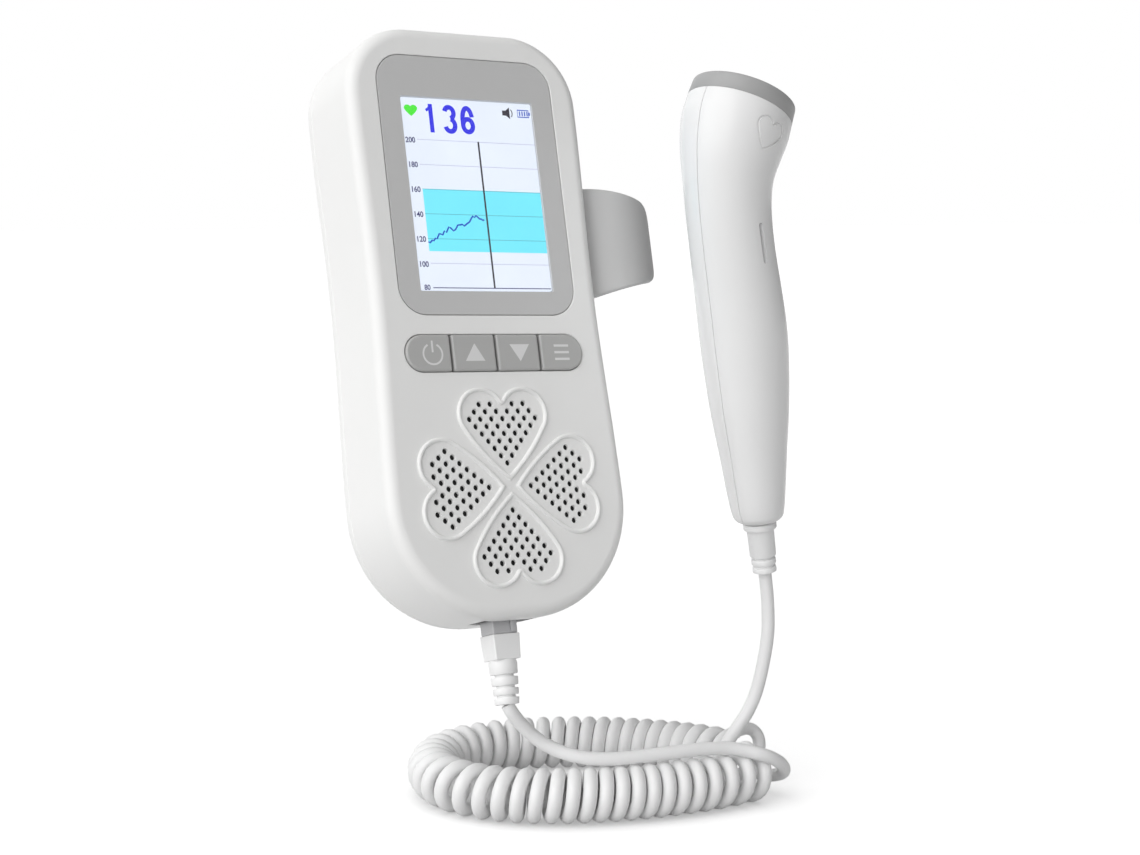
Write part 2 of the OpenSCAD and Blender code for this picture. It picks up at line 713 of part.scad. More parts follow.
// The curls turn over the top and down the outer side of the loop, starting and ending on top
function out_way(curl) =
    let (i = span_of(curl), t = (curl - curls_before[i]) / coil_curls[i],
         way = unit_vector(spline_way(path_point(i - 1), path_point(i), path_point(i + 1), path_point(i + 2), t)))
        [-way.y, way.x, 0];
function coil_middle(curl) =
    let (i = span_of(curl), t = (curl - curls_before[i]) / coil_curls[i],
         p = spline(path_point(i - 1), path_point(i), path_point(i + 1), path_point(i + 2), t))
        [p.x, p.y, curl_mid_h];
function curl_arm(curl) = sin(360 * curl) * out_way(curl) + [0, 0, cos(360 * curl)];
function curl_point(curl) = coil_middle(curl) + curl_r * curl_arm(curl);
function curl_way(curl) =
    let (step = 0.01, a = max(curl - step, 0), b = min(curl + step, curl_count))
        unit_vector(curl_point(b) - curl_point(a));

coil_first = curl_point(0) - straight_l * curl_way(0);
coil_last = curl_point(curl_count) + straight_l * curl_way(curl_count);

function ring_at(p, arm, way, r, sides) =
    let (across = unit_vector(arm - (arm * way) * way), side = cross(way, across))
        [for (i = [0 : sides - 1]) p + r * (cos(360 * i / sides) * across + sin(360 * i / sides) * side)];

coil_points = [for (i = [0 : rings_per_curl * curl_count]) curl_point(i / rings_per_curl)];

// Least distance between the surfaces of neighbouring curls
function least(list) = min([for (value = list) value]);
coil_gap = least([for (i = [0 : len(coil_points) - 1])
    each [for (j = [i + rings_per_curl / 2 : 1 : min(i + 2 * rings_per_curl, len(coil_points) - 1)])
        norm(coil_points[i] - coil_points[j])]]) - lead_d;
echo(coil_gap = coil_gap, curls = curl_count, coil_first = coil_first, coil_last = coil_last);

module lead_coil() color("whitesmoke") floor_frame() loft(concat(
    [ring_at(coil_first, curl_arm(0), curl_way(0), lead_r, coil_sides)],
    [for (i = [0 : rings_per_curl * curl_count])
        let (curl = i / rings_per_curl) ring_at(curl_point(curl), curl_arm(curl), curl_way(curl), lead_r, coil_sides)],
    [ring_at(coil_last, curl_arm(curl_count), curl_way(curl_count), lead_r, coil_sides)]));

// Free stretches, in the floor's frame: from the boot to the coil, and from the coil to the probe
boot_exit = floor_from_row(row_from_unit([plug_x, plug_y, boot_end_z]));
boot_exit_way = floor_from_row(row_from_unit([plug_x, plug_y, boot_end_z - 1])) - boot_exit;
relief_tilt = 10;
probe_exit_way = turn_z([sin(relief_tilt), 0, -cos(relief_tilt)], probe_turn);

unit_route = concat(
    [boot_exit, boot_exit + straight_l * boot_exit_way],
    [[-19.4, -25.2, 22.7], [-16.9, -25.2, 20.8], [-13.8, -25.6, 19.2], [-10.4, -25.9, 17.7],
     [-6.5, -26.1, 16.5], [-2, -25.8, 15.7], [4, -24.6, 15.4], [10, -22.8, 15.5], [16, -20.7, 15.7],
     [22, -18.3, 15.8], [27.5, -16, 15.7], [32.5, -14.2, 15.2], [36.7, -13.4, 14.4], [40.1, -13.1, 13.5],
     [43.1, -11.7, 12.2], [45.6, -8.8, 10.1], [47, -4.9, 7.6], [46.9, -2.3, 5.8], [45, -0.2, 4.6],
     [42.6, 1.4, 4.2], [40, 2.6, 4.9], [37.8, 3, 7], [36.5, 1.9, 9.5], [36.4, -0.2, 11.3]],
    [coil_first - 1.5 * curl_way(0), coil_first]);

probe_route = concat(
    [probe_place, probe_place + straight_l * probe_exit_way],
    [[43.4, 5.3, 48.5], [43.5, 5.1, 41], [42.4, 5, 33], [40.7, 5, 25.5], [38.5, 4.5, 20.3],
     [36.2, 4, 16.8], [33.8, 3.6, 13.2], [31.9, 3.4, 9.9], [30.9, 3.4, 6.6], [31.4, 4.4, 3.6],
     [33.4, 6.8, 2], [36.2, 10, 1.7], [39, 13.2, 2.2], [41.4, 16.2, 4], [42.7, 18, 6.8],
     [42.6, 19, 9.4], [41.3, 19, 11.4], [39.4, 17.9, 12.3]],
    [coil_last + 1.5 * curl_way(curl_count), coil_last]);

// Ways along a route: straight on at both ends, halfway between the neighbours elsewhere
function route_way(route, i) =
    let (last = len(route) - 1)
        unit_vector(i == 0 ? route[1] - route[0]
                    : i == last ? route[last] - route[last - 1] : route[i + 1] - route[i - 1]);
function carried(arm, way) = unit_vector(arm - (arm * way) * way);
function route_arms(route, arm, i = 0) =
    i == len(route) ? []
    : let (next = carried(arm, route_way(route, i))) concat([next], route_arms(route, next, i + 1));

module lead_tube(route) {
    arms = route_arms(route, [0, 1, 0.2]);
    loft([for (i = [0 : len(route) - 1]) ring_at(route[i], arms[i], route_way(route, i), lead_r, lead_sides)]);
}

module lead_unit() color("whitesmoke") floor_frame() lead_tube(unit_route);
module lead_probe() color("whitesmoke") floor_frame() lead_tube(probe_route);

// ---- Probe ----
// The probe's frame: its halves part at the plane Y = 0, the handle runs up Z and the head tilts to +X.

// Each station: sideways place, height, radius and tilt
stations = [
    [-2.5, 13.3, 6.2, -8], [-3.3, 18, 7.1, -8], [-4.9, 30, 8.5, -8], [-6.6, 42.5, 10, -8],
    [-8.3, 55, 10.9, -9], [-9.7, 63.5, 11.1, -11], [-11.5, 72, 10.9, -13], [-13.9, 83, 10.6, -11],
    [-15.5, 93, 10.7, -4], [-15.8, 100, 11.3, 5], [-15, 106.5, 12.6, 14], [-13.4, 112.5, 13.6, 22],
    [-11.6, 117, 13.5, 25]
];
probe_sides = 36;
head_tilt = 25;
head_station = stations[len(stations) - 1];
head_low = [head_station[0], 0, head_station[1]];
head_r = head_station[2];
foot_station = stations[0];

function station_ring(s, inset, shift = 0) =
    let (way = [sin(s[3]), 0, cos(s[3])], across = [cos(s[3]), 0, -sin(s[3])])
        [for (i = [0.5 : probe_sides]) [s[0], 0, s[1]] + shift * way
            + (s[2] - inset) * (cos(360 * i / probe_sides) * across + [0, sin(360 * i / probe_sides), 0])];

module probe_form(inset) loft([for (s = stations) station_ring(s, inset)]);

module probe_hollow() loft(concat(
    [station_ring(foot_station, probe_wall, probe_wall)],
    [for (i = [1 : len(stations) - 1]) station_ring(stations[i], probe_wall)],
    [station_ring(head_station, probe_wall, 5)]));

module head_frame() translate(head_low) rotate([0, head_tilt, 0]) children();
module relief_frame() rotate([0, -relief_tilt, 0]) children();

probe_boss_z = [36, 97];
function probe_middle(z) = lookup(z, [for (s = stations) [s[1], s[0]]]);
probe_boss_r = 2.3;
relief_neck_r = 3.5;
relief_hole_r = relief_neck_r + fit_gap;

module probe_half(side) difference() {
    union() {
        difference() {
            probe_form(0);
            probe_hollow();
        }
        intersection() {
            probe_form(probe_wall / 2);
            for (z = probe_boss_z) translate([probe_middle(z), -20, z]) rod_y(probe_boss_r, 0, 40);
        }
    }
    translate([-60, side > 0 ? -60 : 0, -5]) cube([120, 60, 160]);
    relief_frame() cylinder(r = relief_hole_r, h = 20);
    for (z = probe_boss_z) translate([probe_middle(z), 0, z]) {
        rod_y(screw_r + screw_play, -6, 20);
        if (side > 0) rod_y(screw_head_r + fit_gap, 6, 20);
    }
}

mark_z = 112;
slot_z = 84.5;

module mark_outline(inset) {
    scale(mark_h / (clover_reach - heart_tip)) translate([0, -(lobe_out + heart_tip) / 2]) heart(inset);
}

module probe_front_shell() color("white") probe_frame() difference() {
    probe_half(-1);
    translate([probe_middle(mark_z), -12.6, mark_z]) rotate([0, 14, 0]) translate([0, -3, 0]) along_y(3)
        difference() {
            mark_outline(0);
            mark_outline(2);
        }
    translate([probe_middle(slot_z) - slot_w / 2, -20, slot_z - slot_l / 2]) cube([slot_w, 19, slot_l]);
}

module probe_rear_shell() color("white") probe_frame() probe_half(1);

module probe_ring() color("gray") probe_frame() head_frame() difference() {
    cylinder(r1 = head_r, r2 = head_r - 0.3, h = ring_h, $fn = 72);
    translate([0, 0, -1]) cylinder(r = head_r - rim_w, h = ring_h + 2, $fn = 72);
}

face_r = head_r - rim_w - 0.05;

module probe_face() color("gainsboro") probe_frame() head_frame() rotate_extrude($fn = 72)
    polygon([[0, ring_h - 3], [face_r, ring_h - 3], [face_r, ring_h - 0.4], [face_r - 1, ring_h], [0, ring_h]]);

module piezo_crystals() color("khaki") probe_frame() head_frame()
    for (side = [-1, 1]) intersection() {
        translate([0, 0, ring_h - 3.8]) cylinder(r = face_r - 2, h = 0.8);
        translate([-20, side > 0 ? 0.6 : -20.6, 0]) cube([40, 20, 10]);
    }

module crystal_backing() color("black") probe_frame() head_frame()
    translate([0, 0, ring_h - 8.6]) cylinder(r = face_r - 1.4, h = 4.8);

board_tilt = -8;
probe_board_z = 45;
probe_board_size = [3.6, 1, 38];
probe_board_place = [2.6, 0.6, -9];

module probe_board() color("darkgreen") probe_frame()
    translate([probe_middle(probe_board_z), 0, probe_board_z]) rotate([0, board_tilt, 0])
        translate(probe_board_place) cube(probe_board_size);

module probe_light() color("honeydew") probe_frame()
    translate([probe_middle(slot_z) - slot_w / 2 + 0.05, -stations[7][2] + 0.3, slot_z - slot_l / 2 + 0.05])
        cube([slot_w - 0.1, 3, slot_l - 0.1]);

module probe_screws() color("silver") probe_frame()
    for (z = probe_boss_z) translate([probe_middle(z), 0, z]) {
        rod_y(screw_r, -5.6, 6);
        rod_y(screw_head_r, 6, 6 + screw_head_h);
    }

relief_collar = [4.3, 1.8];
relief_ring = [3.2, 1.5];

module probe_relief() color("white") probe_frame() relief_frame() {
    cylinder(r = 2.5, h = relief_l);
    cylinder(r = 3.1, h = 1.4);
    translate([0, 0, 2.1]) cylinder(r = relief_ring[0], h = relief_ring[1]);
    translate([0, 0, 4.3]) cylinder(r1 = 3.4, r2 = relief_neck_r, h = relief_l - relief_collar[1] - 4.3);
    translate([0, 0, relief_l - relief_collar[1]]) cylinder(r = relief_collar[0], h = relief_collar[1]);
    cylinder(r = relief_neck_r - 0.2, h = relief_l + 3);
    translate([0, 0, relief_l + 2.2]) cylinder(r = 4.1, h = 1.6);
}

front_shell();
rear_shell();
battery_door();
display_bezel();
display_window();
lcd_panel();
lcd_tray();
main_board();
board_screws();
key(0);  // key_power
key(1);  // key_up
key(2);  // key_down
key(3);  // key_mode
key_switches();
speaker_basket();
speaker_cone();
speaker_magnet();
battery_cells();
battery_contacts();
earphone_jack();
probe_socket();
housing_screws();
probe_holder();
holder_screws();
modular_plug();
plug_contacts();
plug_boot();
lead_unit();
lead_coil();
lead_probe();
probe_front_shell();
probe_rear_shell();
probe_ring();
probe_face();
piezo_crystals();
crystal_backing();
probe_board();
probe_light();
probe_screws();
probe_relief();
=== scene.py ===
import math

import bpy
from mathutils import Matrix, Vector
from mathutils.bvhtree import BVHTree


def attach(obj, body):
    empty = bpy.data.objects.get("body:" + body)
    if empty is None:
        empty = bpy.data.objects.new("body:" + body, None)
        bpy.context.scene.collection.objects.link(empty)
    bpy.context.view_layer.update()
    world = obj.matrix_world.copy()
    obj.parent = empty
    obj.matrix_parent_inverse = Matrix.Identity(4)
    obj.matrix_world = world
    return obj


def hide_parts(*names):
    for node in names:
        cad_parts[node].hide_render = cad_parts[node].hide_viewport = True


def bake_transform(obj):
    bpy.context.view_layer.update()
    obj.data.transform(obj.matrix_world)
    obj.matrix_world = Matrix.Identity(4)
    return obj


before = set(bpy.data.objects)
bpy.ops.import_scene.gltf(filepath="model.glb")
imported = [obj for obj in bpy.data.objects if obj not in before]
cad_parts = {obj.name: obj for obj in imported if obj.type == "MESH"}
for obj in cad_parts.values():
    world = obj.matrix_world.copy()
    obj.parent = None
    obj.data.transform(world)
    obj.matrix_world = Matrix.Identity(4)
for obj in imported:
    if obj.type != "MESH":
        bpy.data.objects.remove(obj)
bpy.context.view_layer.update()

MM = 0.001


def linked(name, data):
    """A new object in the scene."""
    made = bpy.data.objects.new(name, data)
    bpy.context.scene.collection.objects.link(made)
    return made


# ------------------------------ camera

PHOTO_WIDTH, FOCAL_PX, SENSOR_MM = 1140, 2112.6, 36
CAMERA_PLACE = Vector((-253.2, -498.3, -19.8))
CAMERA_WAY, CAMERA_DIP = (0.5158, 0.8567), math.radians(6)


def add_camera():
    camera = linked("camera", bpy.data.cameras.new("camera"))
    camera.data.sensor_width = SENSOR_MM
    camera.data.lens = FOCAL_PX / PHOTO_WIDTH * SENSOR_MM
    camera.data.clip_start, camera.data.clip_end = 0.01, 50
    camera.location = CAMERA_PLACE * MM
    level = math.cos(CAMERA_DIP)
    ahead = Vector((CAMERA_WAY[0] * level, CAMERA_WAY[1] * level, -math.sin(CAMERA_DIP)))
    camera.rotation_mode = "QUATERNION"
    camera.rotation_quaternion = ahead.to_track_quat("-Z", "Y")
    bpy.context.scene.camera = camera


add_camera()


# ------------------------------ frames of unit, floor and probe, in mm

UNIT_H, UNIT_DEPTH, TOP_Z = 148.2, 28.5, 42.8
LOW_Z = TOP_Z - UNIT_H
LEAN, ROLL, UNIT_DOWN = 16, 1.7, 26
FLOOR_PLACE, FLOOR_TURN = Vector((28.2, -45.8, -170.5)), -31
PROBE_PLACE, PROBE_TURN = Vector((42.5, 4.6, 57)), 45
RELIEF_TILT = 10
HEAD_TILT, HEAD_LOW = 25, Vector((-11.6, 0, 117))


def turned(axis, degrees):
    return Matrix.Rotation(math.radians(degrees), 4, axis)


UNIT = turned("X", -LEAN) @ turned("Y", ROLL) @ Matrix.Translation((0, -UNIT_DEPTH, -UNIT_DOWN))
FLOOR = Matrix.Translation(FLOOR_PLACE) @ turned("Z", FLOOR_TURN)
PROBE = FLOOR @ Matrix.Translation(PROBE_PLACE) @ turned("Z", PROBE_TURN)
HEAD = PROBE @ Matrix.Translation(HEAD_LOW) @ turned("Y", HEAD_TILT)
RELIEF = PROBE @ turned("Y", -RELIEF_TILT)


# ------------------------------ shader maths


class Value:
    """A number that varies over a surface; arithmetic on it adds Math nodes."""

    def __init__(self, socket):
        self.socket = socket

    def _math(self, operation, other):
        tree = self.socket.node.id_data
        node = tree.nodes.new("ShaderNodeMath")
        node.operation = operation
        tree.links.new(self.socket, node.inputs[0])
        if isinstance(other, Value):
            tree.links.new(other.socket, node.inputs[1])
        else:
            node.inputs[1].default_value = other
        return Value(node.outputs[0])

    def __add__(self, other):
        return self._math("ADD", other)

    def __sub__(self, other):
        return self._math("SUBTRACT", other)

    def __mul__(self, other):
        return self._math("MULTIPLY", other)

    __radd__ = __add__


class Nodes:
    """The nodes of a material or of the world, and short ways to add them."""

    def __init__(self, owner, output):
        owner.use_nodes = True
        self.tree = owner.node_tree
        self.tree.nodes.clear()
        self.output = self.tree.nodes.new("ShaderNodeOutput" + output)

    def feed(self, node, values):
        """Sets or links inputs, found by their place, identifier or name."""
        inputs = list(node.inputs)
        sockets = dict(enumerate(inputs)) | {s.identifier: s for s in inputs}
        sockets |= {s.name: s for s in reversed(inputs)}
        for key, value in values.items():
            if isinstance(value, Value):
                self.tree.links.new(value.socket, sockets[key])
            else:
                sockets[key].default_value = value

    def node(self, kind, values=(), out=0, **settings):
        """Adds a node; its settings are made before its inputs are fed."""
        node = self.tree.nodes.new("ShaderNode" + kind)
        for key, setting in settings.items():
            setattr(node, key, setting)
        self.feed(node, dict(values))
        return Value(node.outputs[out])

    def place(self, kind="Object"):
        return self.node("TexCoord", out=kind)

    def ray(self, kind):
        """1 where a ray of this kind arrives, 0 elsewhere."""
        return self.node("LightPath", out=f"Is {kind} Ray")

    def noise(self, scale, detail=2.0, roughness=0.5):
        return self.node("TexNoise", {"Vector": self.place(), "Scale": scale, "Detail": detail,
                                      "Roughness": roughness})

    def step(self, value, low, high, start=0.0, end=1.0):
        """Start below low, end above high, smooth between."""
        return self.node("MapRange", {"Value": value, "From Min": low, "From Max": high, "To Min": start,
                                      "To Max": end}, interpolation_type="SMOOTHSTEP")

    def blend(self, share, first, second):
        """A colour between two, by share."""
        return self.node("Mix", {"Factor_Float": share, "A_Color": first, "B_Color": second}, out=2,
                         data_type="RGBA")


class Finish(Nodes):
    """A material: a Principled shader and the nodes that vary it."""

    def __init__(self, name, colour, **shine):
        self.material = bpy.data.materials.new(name)
        super().__init__(self.material, "Material")
        self.shader = self.tree.nodes.new("ShaderNodeBsdfPrincipled")
        self.feed(self.output, {"Surface": Value(self.shader.outputs[0])})
        self.colour = linear(colour)
        self.set(base_color=self.colour, **shine)

    def set(self, **values):
        self.feed(self.shader, {key.replace("_", " ").title().replace("Ior", "IOR"): value
                                for key, value in values.items()})

    def tint(self, share, factor):
        """The finish's colour, moved towards factor times itself where share is 1."""
        return self.blend(share, self.colour, scaled(self.colour, factor))

    def bump(self, height, depth):
        """Raises the surface by height times depth, in mm."""
        self.set(normal=self.node("Bump", {"Height": height, "Distance": depth * MM, "Strength": 1.0}))


def linear(colour):
    """A colour given as eight-bit display values."""
    return tuple(c / 255 / 12.92 if c < 10.3 else ((c / 255 + 0.055) / 1.055) ** 2.4 for c in colour) + (1,)


def scaled(colour, factor):
    return tuple(c * factor for c in colour[:3]) + (1,)


# ------------------------------ finishes


def moulded(name, colour, rough, grain_mm, depth, spread=0.03):
    """Injection-moulded plastic: a fine spark grain, faint flow clouds and handled patches."""
    finish = Finish(name, colour)
    clouds = finish.noise(28, 3, 0.55)
    grain = finish.noise(1000 / grain_mm, 2, 0.6)
    patches = finish.noise(90, 4, 0.6)
    finish.set(base_color=finish.tint(clouds * 0.5 + patches * 0.3, 0.955),
               roughness=rough + (patches - 0.5) * spread * 2 + (grain - 0.5) * spread)
    finish.bump(grain + clouds * 0.4, depth)
    return finish


white_shell = moulded("satin_white_abs", (244, 244, 243), 0.34, 0.55, 0.003)
probe_white = moulded("gloss_white_abs", (240, 240, 240), 0.24, 0.8, 0.0015)
bezel_grey = moulded("satin_grey_bezel", (203, 203, 203), 0.36, 0.45, 0.003)
key_grey = moulded("grey_key_rubber", (182, 182, 181), 0.42, 0.4, 0.004)
holder_grey = moulded("light_grey_clip", (208, 208, 208), 0.38, 0.5, 0.004)
ring_grey = moulded("grey_head_ring", (167, 167, 167), 0.4, 0.5, 0.003)
face_pad = moulded("pale_face_pad", (226, 226, 222), 0.5, 0.6, 0.004)
black_plastic = moulded("black_moulding", (32, 33, 35), 0.5, 0.4, 0.006)
icon_white = moulded("pale_print", (226, 226, 226), 0.5, 0.2, 0.002)
lead_white = moulded("white_cord_jacket", (241, 241, 241), 0.4, 0.6, 0.006)
boot_white = moulded("white_soft_boot", (246, 246, 246), 0.44, 0.5, 0.006)
light_bar = moulded("milky_light_bar", (238, 240, 240), 0.3, 0.6, 0.002)
cell_wrap = moulded("cell_sleeve", (52, 84, 128), 0.3, 1.2, 0.004)
crystal_cream = moulded("fired_ceramic", (222, 212, 178), 0.6, 0.3, 0.01)
cone_paper = moulded("cone_paper", (58, 56, 54), 0.85, 0.35, 0.03)
cloth_black = moulded("black_speaker_cloth", (22, 22, 23), 0.9, 0.25, 0.03)
magnet_grey = moulded("sintered_ferrite", (74, 74, 77), 0.6, 0.5, 0.01)


def clear_plastic(name, colour, alpha):
    finish = moulded(name, colour, 0.08, 2, 0.0008, 0.01)
    haze = finish.noise(60, 3)
    finish.set(alpha=alpha + haze * 0.03, ior=1.49)
    return finish


window_clear = clear_plastic("clear_window", (250, 252, 255), 0.02)
plug_clear = moulded("smoky_clear_plug", (192, 192, 194), 0.2, 1.5, 0.002)


def metal(name, colour, rough):
    finish = Finish(name, colour, metallic=1.0)
    streak = finish.noise(4000, 3, 0.6)
    dull = finish.noise(160, 4)
    finish.set(base_color=finish.tint(dull, 0.85), roughness=rough + streak * 0.1 + dull * 0.12)
    finish.bump(streak, 0.003)
    return finish


steel = metal("zinc_plated_steel", (196, 198, 200), 0.24)
brass = metal("plated_brass", (214, 178, 104), 0.22)


def board_finish():
    """Green solder mask over copper tracks on a square grid."""
    finish = Finish("green_solder_mask", (28, 92, 54))
    bricks = finish.node("TexBrick", {"Vector": finish.place(), "Scale": 160, "Mortar Size": 0.09,
                                      "Mortar Smooth": 0.1, "Brick Width": 0.9, "Row Height": 0.35}, out=1)
    mottle = finish.noise(120, 3)
    tracks = bricks * finish.step(mottle, 0.42, 0.5)
    finish.set(base_color=finish.tint(tracks, 1.7), roughness=0.32 + mottle * 0.1)
    finish.bump(tracks, 0.03)
    return finish


board_green = board_finish()

CAD_FINISHES = {
    white_shell: "front_shell rear_shell battery_door",
    bezel_grey: "display_bezel",
    window_clear: "display_window",
    light_bar: "lcd_panel probe_light",
    black_plastic: "lcd_tray key_switches speaker_basket earphone_jack crystal_backing probe_socket",
    board_green: "main_board probe_board",
    steel: "board_screws housing_screws holder_screws probe_screws",
    key_grey: "key_power key_up key_down key_mode",
    cone_paper: "speaker_cone",
    magnet_grey: "speaker_magnet",
    cell_wrap: "battery_cells",
    brass: "battery_contacts plug_contacts",
    holder_grey: "probe_holder",
    plug_clear: "modular_plug",
    boot_white: "plug_boot probe_relief",
    lead_white: "lead_unit lead_coil lead_probe",
    probe_white: "probe_front_shell probe_rear_shell",
    ring_grey: "probe_ring",
    face_pad: "probe_face",
    crystal_cream: "piezo_crystals",
}
for finish, names in CAD_FINISHES.items():
    for name in names.split():
        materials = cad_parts[name].data.materials
        materials.clear()
        materials.append(finish.material)


# ------------------------------ pieces from points and faces

BEVEL_FROM = math.radians(40)


def piece(name, mesh, finish, body, node=None):
    """Links a mesh as a piece that rides on a body; given (one, other, start, end) instead, it stays fixed
    where it is.

    It stands for the CAD node, where one is named.
    """
    made = linked(name, mesh)
    mesh.materials.append(finish.material)
    if isinstance(body, tuple):
        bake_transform(made)
    else:
        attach(made, body)
    if node:
        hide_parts(node)
    return made


def shade(mesh, crease=35):
    """Smooth shading, but for edges sharper than crease degrees."""
    mesh.shade_smooth()
    mesh.set_sharp_from_angle(angle=math.radians(crease))


def mesh_of(name, part, place, crease=35):
    """A mesh from a part in mm, in the frame that place turns into the row's. Crease 0 keeps it faceted."""
    mesh = bpy.data.meshes.new(name)
    mesh.from_pydata([place @ Vector(p) * MM for p in part[0]], [], part[1])
    mesh.validate()
    if crease:
        shade(mesh, crease)
    return mesh


def final_mesh(made):
    """The mesh of an object after its modifiers."""
    bpy.context.view_layer.update()
    return bpy.data.meshes.new_from_object(made.evaluated_get(bpy.context.evaluated_depsgraph_get()))


def plain(name, part, place, finish, body, node=None, crease=35):
    """A piece straight from points and faces."""
    return piece(name, mesh_of(name, part, place, crease), finish, body, node)


def carved(name, part, place, finish, body, node=None, cuts=(), keep=(), bevel=0.0, segments=3):
    """A piece with holes cut by other parts, cut down to others, then bevelled."""
    base, *tools = [linked("scratch", mesh_of("scratch", form, place, 0)) for form in (part, *cuts, *keep)]
    for tool, operation in zip(tools, ["DIFFERENCE"] * len(cuts) + ["INTERSECT"] * len(keep)):
        step = base.modifiers.new("cut", "BOOLEAN")
        step.operation, step.solver, step.object = operation, "EXACT", tool
    if bevel:
        step = base.modifiers.new("edge", "BEVEL")
        step.width, step.segments, step.limit_method = bevel * MM, segments, "ANGLE"
        step.angle_limit, step.use_clamp_overlap = BEVEL_FROM, True
    mesh = final_mesh(base)
    mesh.name = name
    for spare in (base, *tools):
        bpy.data.objects.remove(spare)
    mesh.materials.clear()
    shade(mesh)
    return piece(name, mesh, finish, body, node)


def weigh(made):
    """Lets the large flat faces set the shading, so that round edges stay clean."""
    made.modifiers.new("weigh", "WEIGHTED_NORMAL").keep_sharp = True


# ------------------------------ outlines and parts: (points, faces)


def loft_faces(rings, sides, loop=False):
    """Quads between rings of equally many points, and end faces or, in a loop, quads to the first ring."""
    faces = []
    for ring in range(rings if loop else rings - 1):
        a, b = ring * sides, (ring + 1) % rings * sides
        faces += [(a + i, a + (i + 1) % sides, b + (i + 1) % sides, b + i) for i in range(sides)]
    return faces if loop else faces + [tuple(range(sides))[::-1], tuple(range(b, b + sides))]


def flipped(faces):
    return [face[::-1] for face in faces]


def round_turns(sides):
    return [math.tau * k / sides for k in range(sides)]


def tube(path, radius, sides=14):
    """A round tube along a path; its rings don't twist."""
    points, arm, last = [], Vector((0, 0, 1)), len(path) - 1
    for i, middle in enumerate(path):
        way = (path[min(i + 1, last)] - path[max(i - 1, 0)]).normalized()
        arm = (arm - arm.dot(way) * way).normalized()
        side = way.cross(arm)
        points += [middle + radius * (math.cos(a) * arm + math.sin(a) * side) for a in round_turns(sides)]
    return points, loft_faces(len(path), sides)


def spline(before, first, second, after, t):
    """A point of the smooth curve through four others."""
    return 0.5 * (2 * first + (second - before) * t + (2 * before - 5 * first + 4 * second - after) * t * t
                  + (3 * first - before - 3 * second + after) * t ** 3)


def through(knots, steps):
    """A smooth line through points, with steps points on each span."""
    ends = [2 * knots[0] - knots[1], *knots, 2 * knots[-1] - knots[-2]]
    line = [spline(*ends[i:i + 4], k / steps) for i in range(len(knots) - 1) for k in range(steps)]
    return line + [knots[-1]]


def ring_arc(centre, radius, start, stop, steps):
    """Points of an arc in a plane, angles in degrees."""
    return [(centre[0] + radius * math.cos(a), centre[1] + radius * math.sin(a))
            for a in (math.radians(start + (stop - start) * k / steps) for k in range(steps + 1))]


def round_rect(w, h, r, steps=12):
    """Outline of a rectangle with round corners, counted round from the right."""
    corners = ((1, 1, 0), (-1, 1, 90), (-1, -1, 180), (1, -1, 270))
    return [p for sx, sz, start in corners
            for p in ring_arc((sx * (w / 2 - r), sz * (h / 2 - r)), r, start, start + 90, steps)]


def growing_rect(w, h, r, steps):
    """The same outline as stack wants it: as a function of how much it grows."""
    return lambda grow: round_rect(w + 2 * grow, h + 2 * grow, r + grow, steps)


def circle(r, sides=32):
    return ring_arc((0, 0), r, 0, 360 - 360 / sides, sides - 1)


def clockwise(outline):
    area = sum(a[0] * b[1] - b[0] * a[1] for a, b in zip(outline, outline[1:] + outline[:1]))
    return outline if area < 0 else outline[::-1]


def stack(outline_of, levels):
    """A solid through outlines that grow by so much at each depth: levels of (grow, y)."""
    rings = [clockwise(outline_of(grow)) for grow, _ in levels]
    points = [(x, y, z) for ring, (_, y) in zip(rings, levels) for x, z in ring]
    return points, loft_faces(len(rings), len(rings[0]))


def prism(outline, y0, y1):
    """A plate that runs along Y from y0 to y1."""
    return stack(lambda grow: outline, [(0, y0), (0, y1)])


def block(x0, x1, y0, y1, z0, z1):
    return prism([(x0, z0), (x1, z0), (x1, z1), (x0, z1)], y0, y1)


def cross(outline, x0, x1):
    """A plate along X with an outline of (y, z)."""
    points, faces = prism(outline, x0, x1)
    return [(y, x, z) for x, y, z in points], flipped(faces)


def lathe(profile, sides, closed=False):
    """Turns a profile of (radius, height) round Z. Its ends lie on the axis unless it is closed."""
    points = [(r * math.cos(a), r * math.sin(a), z) for r, z in profile for a in round_turns(sides)]
    return points, loft_faces(len(profile), sides, loop=closed)


def moved(part, x=0.0, y=0.0, z=0.0, turn=0.0):
    """The same points and faces turned about Y, then moved."""
    spin = turned("Y", turn)
    return [spin @ Vector(p) + Vector((x, y, z)) for p in part[0]], part[1]


def joined(*parts):
    """Several parts as one."""
    points, faces = [], []
    for more, their in parts:
        faces += [tuple(i + len(points) for i in face) for face in their]
        points += list(more)
    return points, faces


# ------------------------------ lead: its coil and two stretches

LEAD_D, COIL_CORD_D, CURL_D = 3.4, 3.62, 13.5
CURL_R = (CURL_D - LEAD_D) / 2
STEPS_PER_CURL, STEPS_PER_KNOT, STEPS_PER_SPAN = 20, 200, 6
RUN_OUT, RUN_ON = 3.2, 4.7
STRETCH_LONG = 42
PLUG_X, PLUG_Y, PLUG_END_Z, BOOT_LONG = -2.2, 10.1, LOW_Z - 3, 17

coil_middle = [Vector(p) for p in (
    (39.5, -6.8), (29, -14.6), (17.5, -20.5), (5, -24.8), (-8, -27), (-18, -26.8), (-28, -23.8), (-36, -18),
    (-41, -10), (-42.7, -1), (-41, 8.3), (-35.5, 16), (-27, 21.5), (-17, 24.5), (-5, 25.5), (7, 24.3),
    (18, 21.2), (26.5, 17.2), (34, 12))]
coil_curls = [2.5, 3.03, 3.44, 3.4, 2.48, 2.44, 1.98, 1.93, 2, 2, 1.82, 2.11, 2.37, 2.9, 3.1, 3, 2.48, 2.02]


